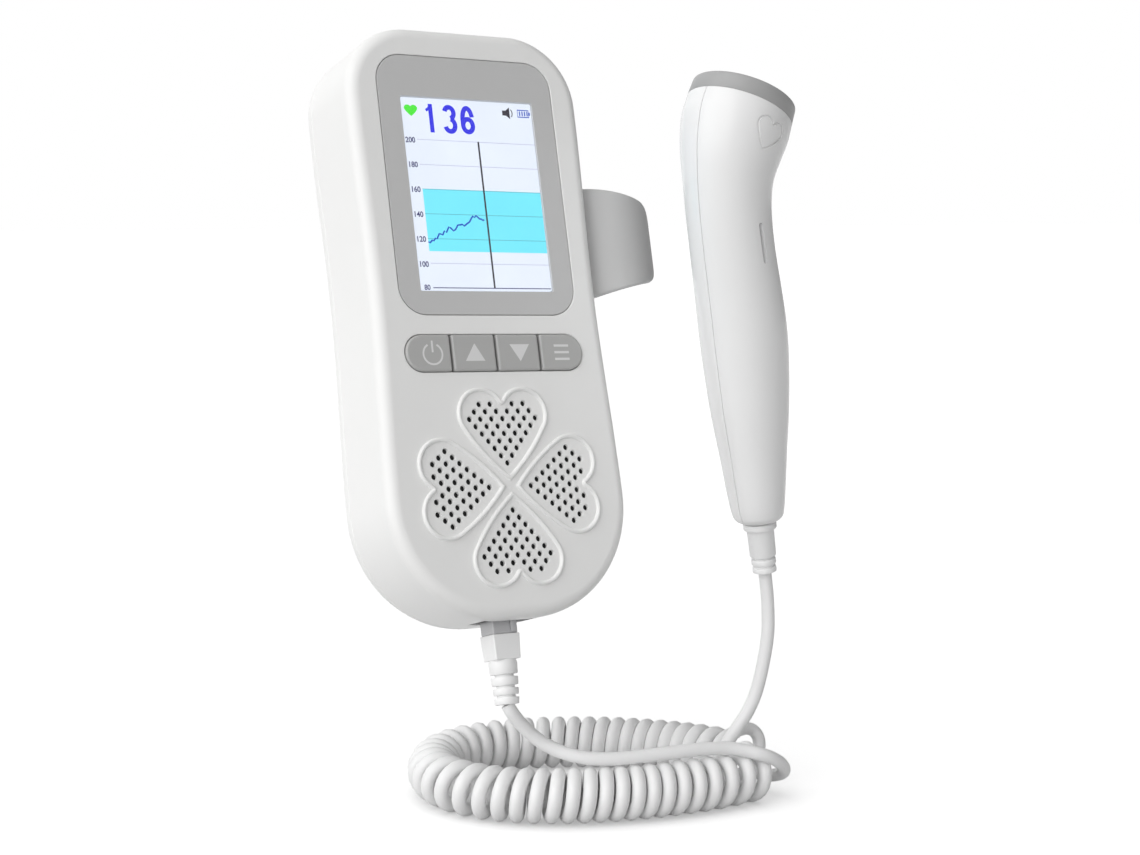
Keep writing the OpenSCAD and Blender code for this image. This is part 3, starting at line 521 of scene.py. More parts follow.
def coil_line():
    """The cord's middle line through the coil: it turns over the top and down the outer side."""
    counts = [sum(coil_curls[:i]) for i in range(len(coil_curls) + 1)]
    middle = [2 * coil_middle[0] - coil_middle[1], *coil_middle, 2 * coil_middle[-1] - coil_middle[-2]]
    turns = [-counts[1], *counts, 2 * counts[-1] - counts[-2]]
    spans = [(turns[i:i + 4], middle[i:i + 4]) for i in range(len(coil_curls))]
    table = [(spline(*turn, k / STEPS_PER_KNOT), spline(*place, k / STEPS_PER_KNOT))
             for turn, place in spans for k in range(STEPS_PER_KNOT)] + [(counts[-1], coil_middle[-1])]
    line, j = [], 0
    total = round(counts[-1] * STEPS_PER_CURL)
    for n in range(total + 1):
        turn = counts[-1] * n / total
        while j < len(table) - 2 and table[j + 1][0] < turn:
            j += 1
        (t0, a), (t1, b) = table[j], table[j + 1]
        at = a.lerp(b, (turn - t0) / (t1 - t0))
        way = (b - a).normalized()
        angle = math.tau * turn
        line.append(Vector((at.x - way.y * CURL_R * math.sin(angle), at.y + way.x * CURL_R * math.sin(angle),
                            CURL_D / 2 + CURL_R * math.cos(angle))))
    return line


coil = coil_line()
coil_in = (coil[0] - coil[1]).normalized()
coil_out = (coil[-1] - coil[-2]).normalized()
boot_exit = FLOOR.inverted() @ UNIT @ Vector((PLUG_X, PLUG_Y, PLUG_END_Z - BOOT_LONG))
tilt = math.radians(RELIEF_TILT)
relief_way = (turned("Z", PROBE_TURN) @ Vector((math.sin(tilt), 0, -math.cos(tilt)))).normalized()
unit_route = [boot_exit, *(Vector(p) for p in (
    (-22.1, -29.65, 28.7), (-20.8, -28.9, 26.6), (-19.0, -27.8, 24.2), (-16.8, -26.8, 21.8),
    (-13.8, -26.1, 19.4), (-10.4, -25.9, 17.7), (-6.5, -26.1, 16.5), (-2, -25.8, 15.7), (4, -24.6, 15.4),
    (10, -22.8, 15.5), (16, -20.7, 15.7), (22, -18.3, 15.8), (27.5, -16, 15.7), (32.5, -14.2, 15.2),
    (36.7, -13.4, 14.4), (40.1, -13.1, 13.5), (43.1, -11.7, 12.2), (45.6, -8.8, 10.1), (47, -4.9, 7.6),
    (46.9, -2.3, 5.8), (45, -0.2, 4.6), (42.6, 1.4, 4.2), (40, 2.6, 4.9), (37.8, 3, 7), (36.5, 1.9, 9.5),
    (36.4, -0.2, 11.3))), coil[0] + RUN_ON * coil_in, coil[0] + RUN_OUT * coil_in]
probe_route = [PROBE_PLACE, PROBE_PLACE + RUN_OUT * relief_way, *(Vector(p) for p in (
    (43.4, 5.3, 48.5), (43.5, 5.1, 41), (42.4, 5, 33), (40.7, 5, 25.5), (38.5, 4.5, 20.3), (36.2, 4, 16.8),
    (33.8, 3.6, 13.2), (31.9, 3.4, 9.9), (30.9, 3.4, 6.6), (31.4, 4.4, 3.6), (33.4, 6.8, 2), (36.2, 10, 1.7),
    (39, 13.2, 2.2), (41.4, 16.2, 4), (42.7, 18, 6.8), (42.6, 19, 9.4), (41.3, 19, 11.4),
    (39.4, 17.9, 12.3))), coil[-1] + RUN_ON * coil_out, coil[-1] + RUN_OUT * coil_out]


def add_lead(name, line, start, thick=LEAD_D, body="housing"):
    """One stretch of the lead, in the floor's frame."""
    made = plain(name, tube(line, thick / 2), FLOOR, lead_white, body,
                 name.replace("cord", "lead"))
    path = [FLOOR @ p * MM for p in line]
    length = sum((b - a).length for a, b in zip(path, path[1:]))
    FLOOR @ start * MM


add_lead("cord_coil", [unit_route[-1], *coil, probe_route[-1]], unit_route[-1], COIL_CORD_D)
stretch = ("housing", "probe", FLOOR @ (PROBE_PLACE - Vector((0, 0, STRETCH_LONG))) * MM,
           FLOOR @ PROBE_PLACE * MM)
add_lead("cord_probe", through(probe_route, STEPS_PER_SPAN), PROBE_PLACE, body=stretch)


# ------------------------------ hand-held unit: shells

UNIT_TOP_W, UNIT_LOW_W, WAIST = 64.8, 66, 1.1
TOP_R, LOW_R, FRONT_R, BACK_R = 18, 29, 3.2, 5
WALL, SEAM_Y, SEAM_CUT, PLAY = 2.2, 22.4, 0.14, 0.15
TOP_CORNER = (UNIT_TOP_W / 2 - TOP_R, TOP_Z - TOP_R)
LOW_CORNER = (UNIT_LOW_W / 2 - LOW_R, LOW_Z + LOW_R)
DOOR_HALF, DOOR_TOP_Z, GRIP_Z = 19, -34, -44
JACK_X, JACK_Y, JACK_R, JACK_SIDES = 12, 14, 3.15, 40
CLOTH_R, CLOTH_ROOM = 24.3, 24.4
BOSSES, SINK_R = [(20, 36), (-20, 36), (26.5, -65.4), (-26.5, -65.4)], 2.15


def unit_half(z, grow=0.0):
    t = (TOP_CORNER[1] - z) / (TOP_CORNER[1] - LOW_CORNER[1])
    return (UNIT_TOP_W + (UNIT_LOW_W - UNIT_TOP_W) * t) / 2 - WAIST * math.sin(math.pi * t) ** 2 + grow


def unit_outline(grow):
    """The unit seen from the front, clockwise from the top."""
    levels = [TOP_CORNER[1] + (LOW_CORNER[1] - TOP_CORNER[1]) * k / 24 for k in range(1, 24)]
    right = ring_arc(TOP_CORNER, TOP_R + grow, 90, 0, 20) + [(unit_half(z, grow), z) for z in levels]
    right += ring_arc(LOW_CORNER, LOW_R + grow, 0, -90, 28)
    return right + [(-x, z) for x, z in reversed(right)]


def rounded_edge(r, y, way, steps=9):
    """Levels of a round edge: from the flat face at depth y, inwards where way is 1."""
    turns = [math.pi / 2 * k / steps for k in range(steps + 1)]
    return [(r * math.sin(a) - r, y + way * r * (1 - math.cos(a))) for a in turns]


HEART_R, HEART_X, LOBE_OUT, HEART_TIP, SIDE_R, CLOVER_Z = 6.75, 5.8, 17.9, 1.35, 50, -73.4
HOLE_ROWS = [(-2, -1, 1, 2)] + [[k - (n - 1) / 2 for k in range(n)] for n in (6, 7, 6, 5, 4, 3, 2, 1)]
HOLE_PITCH, ROW_PITCH, HOLES_OUT, HOLE_R = 3.05, 1.83, 20.45, 0.7


def heart_outline(grow, steps=28):
    """A heart on its tip with slightly round sides, clockwise from its notch; it shrinks if grow is below 0."""
    rise = LOBE_OUT - HEART_TIP
    long = math.hypot(HEART_X, rise)
    swell = SIDE_R - HEART_R
    lean = (math.acos((long ** 2 + HEART_R ** 2 - 2 * SIDE_R * HEART_R) / (2 * swell * long))
            - math.atan2(rise, HEART_X))
    side = (HEART_X - swell * math.cos(lean), LOBE_OUT + swell * math.sin(lean))
    notch = math.acos(-HEART_X / HEART_R)
    tip_z = side[1] - math.sqrt((SIDE_R + grow) ** 2 - side[0] ** 2)
    low = math.degrees(math.atan2(tip_z - side[1], -side[0]))
    right = ring_arc((0, LOBE_OUT + HEART_R * math.sin(notch)), -grow, -90, math.degrees(notch) - 180, 4)[:-1]
    right += ring_arc((HEART_X, LOBE_OUT), HEART_R + grow, math.degrees(notch), -math.degrees(lean), steps)
    right += ring_arc(side, SIDE_R + grow, -math.degrees(lean), low, 10)[1:-1]
    return right + [(0.0, tip_z)] + [(-x, z) for x, z in reversed(right[1:])]


def clover(part):
    """The same part in each of the clover's four hearts."""
    return joined(*(moved(moved(part, turn=turn), z=CLOVER_Z) for turn in (0, 90, 180, 270)))


hole = stack(lambda grow: circle(HOLE_R + grow, 22), [(0.26, -0.2), (0.08, 0.04), (0.01, 0.16), (0, 3)])
heart_holes = joined(*(moved(hole, place * HOLE_PITCH, 0, HOLES_OUT - row * ROW_PITCH)
                       for row, places in enumerate(HOLE_ROWS) for place in places))

KEYS_W, KEYS_H, KEYS_Z, KEY_GROOVE = 49.2, 9.1, -40.2, 0.5


def pill(grow):
    x, r = (KEYS_W - KEYS_H) / 2, KEYS_H / 2 + grow
    return ring_arc((x, 0), r, -90, 90, 28) + ring_arc((-x, 0), r, 90, 270, 28)


BEZEL_W, BEZEL_H, BEZEL_R, BEZEL_UP, BEZEL_T = 48.8, 65.8, 7, 2.3, 1.2
SCREEN_W, SCREEN_H = 36.7, 49
bezel_outline = growing_rect(BEZEL_W, BEZEL_H, BEZEL_R, 14)


def recess(depth):
    """Levels of a hole from the front, with a soft edge."""
    return [(0.42, -0.1), (0.17, 0.15), (PLAY, depth)]


front_form = stack(unit_outline, rounded_edge(FRONT_R, 0, 1) + [
    (0, SEAM_Y - SEAM_CUT), (-SEAM_CUT, SEAM_Y), (-WALL, SEAM_Y), (-WALL, 3.4), (-2.6, 2.6), (-3.4, WALL)])
jack_hole = [(JACK_X + JACK_R * math.cos(a), JACK_Y + JACK_R * math.sin(a), z)
             for z in (38, 46) for a in round_turns(JACK_SIDES)]
weigh(carved("front_cover", front_form, UNIT, white_shell, "housing", "front_shell", [
    moved(stack(bezel_outline, recess(BEZEL_T)), z=BEZEL_UP),
    prism(round_rect(SCREEN_W + 4, SCREEN_H + 4, 1.5), 1, 4),
    moved(stack(pill, recess(4)), z=KEYS_Z),
    moved(prism(circle(CLOTH_ROOM, 64), 0.9, 4), z=CLOVER_Z),
    clover(heart_holes),
    block(-8.25, 8.25, 5.7, 14.5, LOW_Z - 4, LOW_Z + 4),
    (jack_hole, loft_faces(2, JACK_SIDES))]))
plain("speaker_cloth", moved(prism(circle(CLOTH_R, 64), 0.95, 1.3), z=CLOVER_Z), UNIT, cloth_black,
      "housing")

BEAD = [(-0.001, 0.1), (-0.001, -0.08), (-0.09, -0.36), (-0.26, -0.58), (-0.5, -0.68), (-0.76, -0.61),
        (-0.98, -0.42), (-1.14, -0.14), (-1.18, 0.1)]


def bead():
    """The raised outline of one heart."""
    points = [(x, y, z) for grow, y in BEAD for x, z in heart_outline(grow)]
    return points, flipped(loft_faces(len(BEAD), len(points) // len(BEAD), loop=True))


plain("heart_beads", clover(bead()), UNIT, white_shell, "housing", crease=50)

rear_form = stack(unit_outline, [
    (-WALL - 2.8, UNIT_DEPTH - WALL), (-WALL - 0.8, UNIT_DEPTH - WALL - 0.8), (-WALL, UNIT_DEPTH - BACK_R),
    (-WALL, SEAM_Y + 0.02), (-SEAM_CUT, SEAM_Y + 0.02), (0, SEAM_Y + 0.16)]
    + rounded_edge(BACK_R, UNIT_DEPTH, -1, 12)[::-1])


def door_room(gap):
    """The room of the door: the back below its top edge, and the lip round the foot."""
    back, lip, lip_z = UNIT_DEPTH - WALL - 0.1, UNIT_DEPTH - BACK_R - 0.6 - gap, LOW_Z + BACK_R + 1.2 + gap
    return cross([(back, DOOR_TOP_Z + gap), (back, lip_z), (lip, lip_z), (lip, -150), (40, -150),
                  (40, DOOR_TOP_Z + gap)], -DOOR_HALF - gap, DOOR_HALF + gap)


sinks = joined(*(moved(prism(circle(SINK_R), UNIT_DEPTH - 2.4, 40), x, 0, z) for x, z in BOSSES))
weigh(carved("rear_cover", rear_form, UNIT, white_shell, "housing", "rear_shell",
             [door_room(PLAY), sinks]))
weigh(carved("battery_tub", block(-16, 16, 10.65, 26.3, -90.7, -33), UNIT, white_shell, "housing",
             cuts=[block(-15, 15, 11.65, 40, -89.7, -36)], bevel=0.25, segments=2))

grip = moved(stack(lambda grow: [(x * (9 + grow), z * (4.6 + grow)) for x, z in circle(1, 48)],
                   [(-0.7, UNIT_DEPTH - 0.9), (0, UNIT_DEPTH - 0.5), (0.3, UNIT_DEPTH + 0.3)]), z=GRIP_Z)
weigh(carved("back_door", rear_form, UNIT, white_shell, "door", "battery_door", [grip],
             [door_room(0)]))
ridge_levels = [(0.2, UNIT_DEPTH - 1), (0.1, UNIT_DEPTH - 0.35), (-0.15, UNIT_DEPTH - 0.12)]
ridges = joined(*(moved(stack(growing_rect(w, 0.8, 0.38, 5), ridge_levels), z=GRIP_Z + rise)
                  for w, rise in ((9, 3), (13, 1.5), (14, 0), (13, -1.5), (9, -3))))
plain("door_ridges", ridges, UNIT, white_shell, "door")


def hook_blocks(x0, x1, y0, y1, half):
    """The same block at each of the door's four hooks."""
    return joined(*(block(min(side * x0, side * x1), max(side * x0, side * x1), y0, y1, z - half, z + half)
                    for side in (-1, 1) for z in (DOOR_TOP_Z - 8, DOOR_TOP_Z - 20)))


hook_top = UNIT_DEPTH - WALL
weigh(carved("door_hooks", hook_blocks(DOOR_HALF - 2, DOOR_HALF + 1.6, hook_top - 1.3, hook_top, 3), UNIT,
             white_shell, "door", bevel=0.2, segments=2,
             cuts=[hook_blocks(DOOR_HALF, DOOR_HALF + 3, hook_top - 0.3, hook_top + 1, 4)]))


# ------------------------------ hand-held unit: display

SCREEN_GLOW = 0.9
FIGURE_RISE, FIGURE_BOLD, FIGURE_SQUEEZE = 0.72, 0.035, 0.92
SHEET_Y = 0.3
BAND_Y, MARK_Y, OVER_Y, LAST_Y, LINE_Y = (SHEET_Y - up for up in (0.008, 0.012, 0.014, 0.016, 0.02))
STROKE = 1.25
sheet_outline = growing_rect(SCREEN_W, SCREEN_H, 0.35, 4)
bezel_form = moved(stack(bezel_outline, [(-0.22, 0), (-0.06, 0.06), (0, 0.22), (0, BEZEL_T)]), z=BEZEL_UP)
screen_hole = stack(growing_rect(SCREEN_W + 0.3, SCREEN_H + 0.3, 0.3, 4),
                    [(0.12, -0.1), (0.02, 0.08), (0, 3)])
weigh(carved("bezel_plate", bezel_form, UNIT, bezel_grey, "housing", "display_bezel",
             [screen_hole]))
plain("display_lens", joined(stack(sheet_outline, [(-0.1, 0.02), (-0.02, 0.06), (0, 0.26)]),
                             stack(sheet_outline, [(0, 0.6), (0, 1.2), (1.9, 1.2), (1.9, 2.0)])),
      UNIT, window_clear, "housing", "display_window")


def lcd(name, colour):
    """A lit patch of the picture: its pixels show as a fine grid."""
    finish = Finish(name, (0, 0, 0), roughness=0.5, specular_ior_level=0.1)
    lit = linear(colour)
    grid = finish.node("TexChecker", {"Vector": finish.place(), "Scale": 1000 / 0.18}, out=1)
    cloud = finish.noise(70, 3)
    finish.set(base_color=finish.blend(cloud * 0.3, scaled(lit, 0.3), scaled(lit, 0)),
               emission_color=finish.blend(grid * 0.35 + cloud * 0.4, lit, scaled(lit, 0.93)),
               emission_strength=SCREEN_GLOW)
    return finish


lcd_inks = {name: lcd("lcd_" + name, colour) for name, colour in {
    "white": (232, 240, 253), "cyan": (116, 234, 253), "blue": (38, 38, 226), "green": (72, 232, 48),
    "grid": (196, 200, 226), "teal": (92, 190, 206), "ink": (44, 40, 52), "label": (52, 52, 108),
    "trace": (14, 74, 190)}.items()}


def flat(outline, y):
    """A flat patch that faces the front."""
    ring = clockwise(outline)[::-1]
    return [(x, y, z) for x, z in ring], [tuple(range(len(ring)))]


def bar(x0, x1, z0, z1, y):
    return flat([(x0, z0), (x1, z0), (x1, z1), (x0, z1)], y)


def ribbon(line, width, y, closed=False):
    """A stroke of even width along a line of (x, z) places."""
    n = len(line)
    points = []
    for i, (x, z) in enumerate(line):
        (ax, az), (bx, bz) = ((line[i - 1], line[(i + 1) % n]) if closed
                              else (line[max(i - 1, 0)], line[min(i + 1, n - 1)]))
        long = math.hypot(bx - ax, bz - az)
        nx, nz = (az - bz) / long * width / 2, (bx - ax) / long * width / 2
        points += [(x + nx, y, z + nz), (x - nx, y, z - nz)]
    return points, [(2 * i, 2 * i + 1, 2 * j + 1, 2 * j)
                    for i, j in ((i, (i + 1) % n) for i in range(n if closed else n - 1))]


def figure(text, x, z, height):
    """A number in plain numerals, its lower left corner at x, z."""
    curve = bpy.data.curves.new("figure", "FONT")
    curve.body, curve.size, curve.offset = text, height / FIGURE_RISE, height * FIGURE_BOLD
    made = linked("figure", curve)
    mesh = final_mesh(made)
    bpy.data.objects.remove(made)
    return ([(x + v.co.x * FIGURE_SQUEEZE, OVER_Y, z + v.co.y) for v in mesh.vertices],
            [tuple(p.vertices) for p in mesh.polygons])


def oval(x, z, rx, rz, start, stop, steps):
    return [(x + rx * u, z + rz * v) for u, v in ring_arc((0, 0), 1, start, stop, steps)]


trace = [(-14.95, -12.29), (-14.51, -12.55), (-13.84, -11.88), (-13.45, -12.04), (-12.88, -11.32),
         (-12.49, -11.53), (-11.74, -10.2), (-11.28, -10.29), (-10.83, -10.5), (-10.22, -9.45),
         (-9.74, -9.88), (-8.9, -8.43), (-8.4, -8.69), (-7.7, -9.39), (-7.05, -8.99), (-6.32, -7.87),
         (-5.71, -7.85), (-5.09, -7.67), (-4.54, -8.1), (-3.74, -7.47), (-2.95, -7.01), (-2.35, -6.05),
         (-1.86, -5.49), (-1.48, -5.86), (-0.99, -5.35), (-0.49, -5.73), (-0.06, -6.16), (0.43, -6.2),
         (0.87, -6.52), (1.26, -6.35)]
small_heart = [(-15.85 + x * 0.145, 19.6 + (z - HEART_TIP) * 0.125) for x, z in heart_outline(-0.001)]
six = (oval(-0.3, 17.9, 1.35, 1.65, 0, 360, 28), oval(-0.3, 19.3, 1.35, 3.1, 15, 180, 18),
       [(-1.65, 19.4), (-1.65, 17.8)])
three = (oval(-5.3, 20.95, 1.25, 1.45, 165, -80, 20), oval(-5.3, 17.75, 1.35, 1.6, 80, -165, 22))
one = [(-11.7, 21.3), (-10.95, 21.75), (-10.4, 22.7)]
scale = ((200, 13.55), (180, 7.27), (160, 0.97), (140, -5.35), (120, -11.6), (100, -17.9))
picture = {
    "screen_sheet": ("white", [stack(sheet_outline, [(-0.1, SHEET_Y), (-0.1, 1.1)])]),
    "screen_band": ("cyan", [bar(-14.97, 18.2, -14.65, 1.05, BAND_Y)]),
    "screen_grid": ("grid", [bar(-15, 18.25, z - 0.09, z + 0.09, BAND_Y) for z in (13.7, 7.3, -17.7)]),
    "screen_band_lines": ("teal", [bar(-15, 18.25, z - 0.1, z + 0.1, OVER_Y) for z in (1.05, -5.2, -11.5)]),
    "screen_base_line": ("label", [bar(-15, 18.1, -23.95, -23.72, OVER_Y)]
                         + [figure(str(value), -18.2, z - 0.7, 1.4) for value, z in scale]
                         + [figure("80", -17.4, -24.35, 1.3)]),
    "screen_marker": ("ink", [bar(1.8, 2.28, -23.8, 13.8, LINE_Y)]),
    "screen_trace": ("trace", [ribbon(trace, 0.42, LINE_Y)]),
    "screen_figures": ("blue", [ribbon(six[0], STROKE, MARK_Y, closed=True), ribbon(six[1], STROKE, OVER_Y),
                                ribbon(six[2], STROKE, LAST_Y), ribbon(three[0], STROKE, MARK_Y),
                                ribbon(three[1], STROKE, OVER_Y), ribbon(one, 0.75, MARK_Y),
                                bar(-11.0, -9.85, 15.65, 23.0, OVER_Y)]),
    "screen_icons": ("ink", [
        flat([(9.9, 21.1), (10.9, 21.1), (12.0, 20.2), (12.0, 23.3), (10.9, 22.4), (9.9, 22.4)], MARK_Y),
        ribbon(oval(12.0, 21.75, 0.75, 1.1, -60, 60, 8), 0.25, MARK_Y)]),
    "screen_charge": ("trace", [
        ribbon([(14.3, 20.9), (17.5, 20.9), (17.5, 22.7), (14.3, 22.7)], 0.3, MARK_Y, closed=True),
        bar(17.5, 17.9, 21.4, 22.2, MARK_Y),
        *(bar(14.75 + 0.72 * k, 15.1 + 0.72 * k, 21.2, 22.4, OVER_Y) for k in range(4))]),
    "screen_heart": ("green", [flat(small_heart, MARK_Y)]),
}
for name, (ink, parts) in picture.items():
    plain(name, joined(*parts), UNIT, lcd_inks[ink], "housing", crease=0)


# ------------------------------ hand-held unit: keys


def key_outline(index, grow):
    """One of four keys in the row; the outer two have a round end."""
    def end(first, pitches):
        if first:
            return ring_arc(((KEYS_W - KEYS_H) / 2, 0), KEYS_H / 2 + grow, -90, 90, 28)
        corner = max(0.5 + grow, 0.05)
        x, z = pitches * KEYS_W / 4 - KEY_GROOVE / 2 + grow - corner, KEYS_H / 2 + grow - corner
        return ring_arc((x, -z), corner, -90, 0, 5) + ring_arc((x, z), corner, 0, 90, 5)
    return end(index == 3, index - 1) + [(-x, z) for x, z in reversed(end(index == 0, 2 - index))]


KEY_EDGE = [(-0.62, -0.62), (-0.36, -0.56), (-0.16, -0.4), (-0.04, -0.2), (0, 0.05), (0, 2.5)]
ICON_Y = -0.635
power_sign = [ribbon(ring_arc((-17.55, -40.5), 2.55, 118, 422, 40), 0.48, ICON_Y),
              bar(-17.8, -17.3, -40.1, -37.2, ICON_Y)]
icons = [power_sign, [flat([(-8.8, -42.3), (-3.4, -42.3), (-6.0, -37.9)], ICON_Y)],
         [flat([(3.75, -38.2), (9.3, -38.2), (6.45, -42.5)], ICON_Y)],
         [bar(16.3, 20.5, z - 0.3, z + 0.3, ICON_Y) for z in (-38.6, -40.3, -42.0)]]
for index, (name, signs) in enumerate(zip(("power", "up", "down", "mode"), icons)):
    cap = moved(stack(lambda grow: key_outline(index, grow), KEY_EDGE), z=KEYS_Z)
    weigh(plain("keycap_" + name, cap, UNIT, key_grey, name + "_key", "key_" + name, crease=50))
    plain("sign_" + name, joined(*signs), UNIT, icon_white, name + "_key", crease=0)


# ------------------------------ hand-held unit: clip, plug and boot

CLIP_R, CLIP_T, CLIP_Y, CLIP_Z = 11, 2, 16.5, -9.5
CLIP_ENDS, CLIP_CORNER = (28, 324), 5.2
CLIP_HALF, TOP_FALL, LOW_RISE = 14.6, 3.8, 8.4
CLIP_X = unit_half(CLIP_Z) + CLIP_R + CLIP_T


def clip():
    """An open ring of flat section that is lower at its round-cornered free ends."""
    middle_r = CLIP_R + CLIP_T / 2
    reach = math.radians(CLIP_ENDS[1] - CLIP_ENDS[0]) * middle_r
    near = [CLIP_CORNER * (1 - math.cos(math.pi / 2 * k / 8)) for k in range(8)]
    even = [CLIP_CORNER + (reach - 2 * CLIP_CORNER) * k / 60 for k in range(61)]
    points = []
    for s in [*near, *even, *(reach - s for s in reversed(near))]:
        angle = math.radians(CLIP_ENDS[0]) + s / middle_r
        x = (CLIP_R + CLIP_T) * (1 + math.cos(angle))
        narrow = min(max((x - 3) / 18, 0), 1)
        top = CLIP_HALF - TOP_FALL * narrow
        low = top if angle > math.pi else CLIP_HALF - LOW_RISE * narrow
        free = min(s, reach - s)
        if free < CLIP_CORNER:
            cut = CLIP_CORNER - math.sqrt(CLIP_CORNER ** 2 - (CLIP_CORNER - free) ** 2)
            top, low = top - cut, max(low - cut, 1)
        section = round_rect(CLIP_T, top + low, 0.7, 5)
        points += [(CLIP_X + (middle_r + r) * math.cos(angle), CLIP_Y + (middle_r + r) * math.sin(angle),
                    CLIP_Z + z + (top - low) / 2) for r, z in section]
    return points, loft_faces(len(points) // len(section), len(section))


weigh(plain("side_clip", clip(), UNIT, holder_grey, "housing", "probe_holder", crease=45))
weigh(carved("clip_pad", block(CLIP_X - 13, CLIP_X - 11.1, CLIP_Y - 4.5, CLIP_Y + 4.5, CLIP_Z - 14,
                               CLIP_Z + 14), UNIT, holder_grey, "housing", bevel=0.4))

# a black frame flush in the port opening round the plug: painted shade that darkens the opening's gap
carved("port_painted_shade", block(-8.2, 8.2, 5.75, 14.45, LOW_Z + 0.35, LOW_Z + 2.1), UNIT, black_plastic,
       "housing", cuts=[block(PLUG_X - 3.6, PLUG_X + 3.6, 4.75, 13.6, LOW_Z - 1, LOW_Z + 4)])
weigh(carved("clear_plug", block(PLUG_X - 3.4, PLUG_X + 3.4, PLUG_Y - 3.3, PLUG_Y + 3.3, PLUG_END_Z,
                                 PLUG_END_Z + 12), UNIT, plug_clear, "housing",
             "modular_plug", bevel=0.35))
carved("plug_latch", block(PLUG_X + 1.3, PLUG_X + 2.7, PLUG_Y - 4.1, PLUG_Y - 3.35, PLUG_END_Z + 0.4,
                           PLUG_END_Z + 8.4), UNIT, plug_clear, "housing", bevel=0.15)


def at_plug(points):
    """Points that are given from the middle of the plug's end."""
    return [(PLUG_X + x, PLUG_Y + y, PLUG_END_Z + z) for x, y, z in points]


def boot_profile():
    """Radius and height of the ribbed tail, from its tip up."""
    out = [(1.75, -17), (2.7, -17), (2.92, -16.9), (3.0, -16.65)]
    for place in (15, 12.7, 10):
        r = 3.0 + 0.6 * (17 - place) / 11
        out += [(r, -place - 0.5), (r - 0.1, -place - 0.34), (2.35, -place - 0.3), (2.35, -place + 0.3),
                (r - 0.08, -place + 0.34), (r + 0.02, -place + 0.5)]
    return out + [(3.55, -7.2), (3.3, -6.2), (3.1, -5.5), (0.5, -5.5)]


boot_block = at_plug((x, y, z) for grow, z in ((0.32, 0), (0.05, -6.2))
                     for x, y in round_rect(6.8 + 2 * grow, 6.6 + 2 * grow, 0.3, 2))
weigh(carved("boot_block", (boot_block, flipped(loft_faces(2, len(boot_block) // 2))), UNIT, boot_white,
             "housing", "plug_boot", bevel=0.6, segments=4))
tail, tail_faces = lathe(boot_profile(), 48)
plain("boot_tail", (at_plug(tail), tail_faces), UNIT, boot_white, "housing", crease=40)
add_lead("cord_unit", through(unit_route, STEPS_PER_SPAN), boot_exit)


# ------------------------------ probe

PROBE_WALL, RING_H = 1.8, 4.4
SLOT_Z, SLOT_TURN = 84.5, -12
# sideways place, height, radius and tilt of the probe's sections
stations = [(-2.5, 13.3, 6.2, -8), (-3.3, 18, 7.1, -8), (-4.9, 30, 8.5, -8), (-6.6, 42.5, 10, -8),
            (-8.3, 55, 10.9, -9), (-9.7, 63.5, 11.1, -11), (-11.5, 72, 10.9, -13), (-13.9, 83, 10.6, -11),
            (-15.5, 93, 10.7, -4), (-15.8, 100, 11.3, 5), (-15, 106.5, 12.6, 14), (-13.4, 112.5, 13.6, 22),
            (-11.6, 117, 13.5, 25)]
HEAD_R = stations[-1][2]


def station(z):
    """Sideways place, radius and tilt of the probe's section at a height."""
    heights = [s[1] for s in stations]
    i = min(max(sum(h <= z for h in heights) - 1, 0), len(stations) - 2)
    span = heights[i + 1] - heights[i]
    t = (z - heights[i]) / span

    def slope(j, k):
        a, b = max(j - 1, 0), min(j + 1, len(stations) - 1)
        return (stations[b][k] - stations[a][k]) / (heights[b] - heights[a])

    low, high = stations[i], stations[i + 1]
    x, r, tilt = ((2 * t ** 3 - 3 * t ** 2 + 1) * low[k] + (t ** 3 - 2 * t ** 2 + t) * span * slope(i, k)
                  + (3 * t ** 2 - 2 * t ** 3) * high[k] + (t ** 3 - t ** 2) * span * slope(i + 1, k)
                  for k in (0, 2, 3))
    return x, r, math.radians(tilt)


def around(z, r, degrees, shift=0.0):
    """A point round the probe's section at a height."""
    x, _, tilt = station(z)
    way = Vector((math.sin(tilt), 0, math.cos(tilt)))
    across = Vector((math.cos(tilt), 0, -math.sin(tilt)))
    a = math.radians(degrees)
    return Vector((x, 0, z)) + shift * way + r * (math.cos(a) * across + math.sin(a) * Vector((0, 1, 0)))


def probe_half(side):
    """Half of the probe's shell, with a small groove along the joint; side is -1 at the front."""
    low, top = stations[0][1], stations[-1][1]
    levels = [(low, 3.7, 3.7, PROBE_WALL), (low, station(low)[1] - 2.2, 4.2, PROBE_WALL)]
    for k in range(1, 9):
        a = math.pi / 2 * k / 8
        z = low + 2 * (1 - math.cos(a))
        r = station(z)[1]
        levels.append((z, r - 2 * (1 - math.sin(a)), r - PROBE_WALL - 0.6 * (8 - k) / 8, PROBE_WALL))
    z = low + 3.2
    while z < top - 0.4:
        r = station(z)[1]
        levels.append((z, r, r - PROBE_WALL, max(PROBE_WALL - (z - low) * 0.3, 0)))
        z += 1.15
    levels += [(top - 0.15, station(top - 0.15)[1], HEAD_R - PROBE_WALL, 0),
               (top, HEAD_R - 0.14, HEAD_R - PROBE_WALL, 0)]
    points = []
    for z, r, inner, inner_shift in levels:
        nick = math.degrees(0.15 / r)
        outer = [(r - 0.28, 0), (r - 0.02, nick), *((r, 3 * k) for k in range(1, 60)),
                 (r - 0.02, 180 - nick), (r - 0.28, 180)]
        ring = [around(z, out, turn) for out, turn in outer]
        ring += [around(z, inner, 180 - 7.5 * k, inner_shift) for k in range(25)]
        points += [Vector((p.x, side * abs(p.y), p.z)) for p in ring]
    faces = loft_faces(len(levels), len(ring))
    return points, faces if side > 0 else flipped(faces)


front_half, rear_half = probe_half(-1), probe_half(1)
skin = BVHTree.FromPolygons(*front_half)


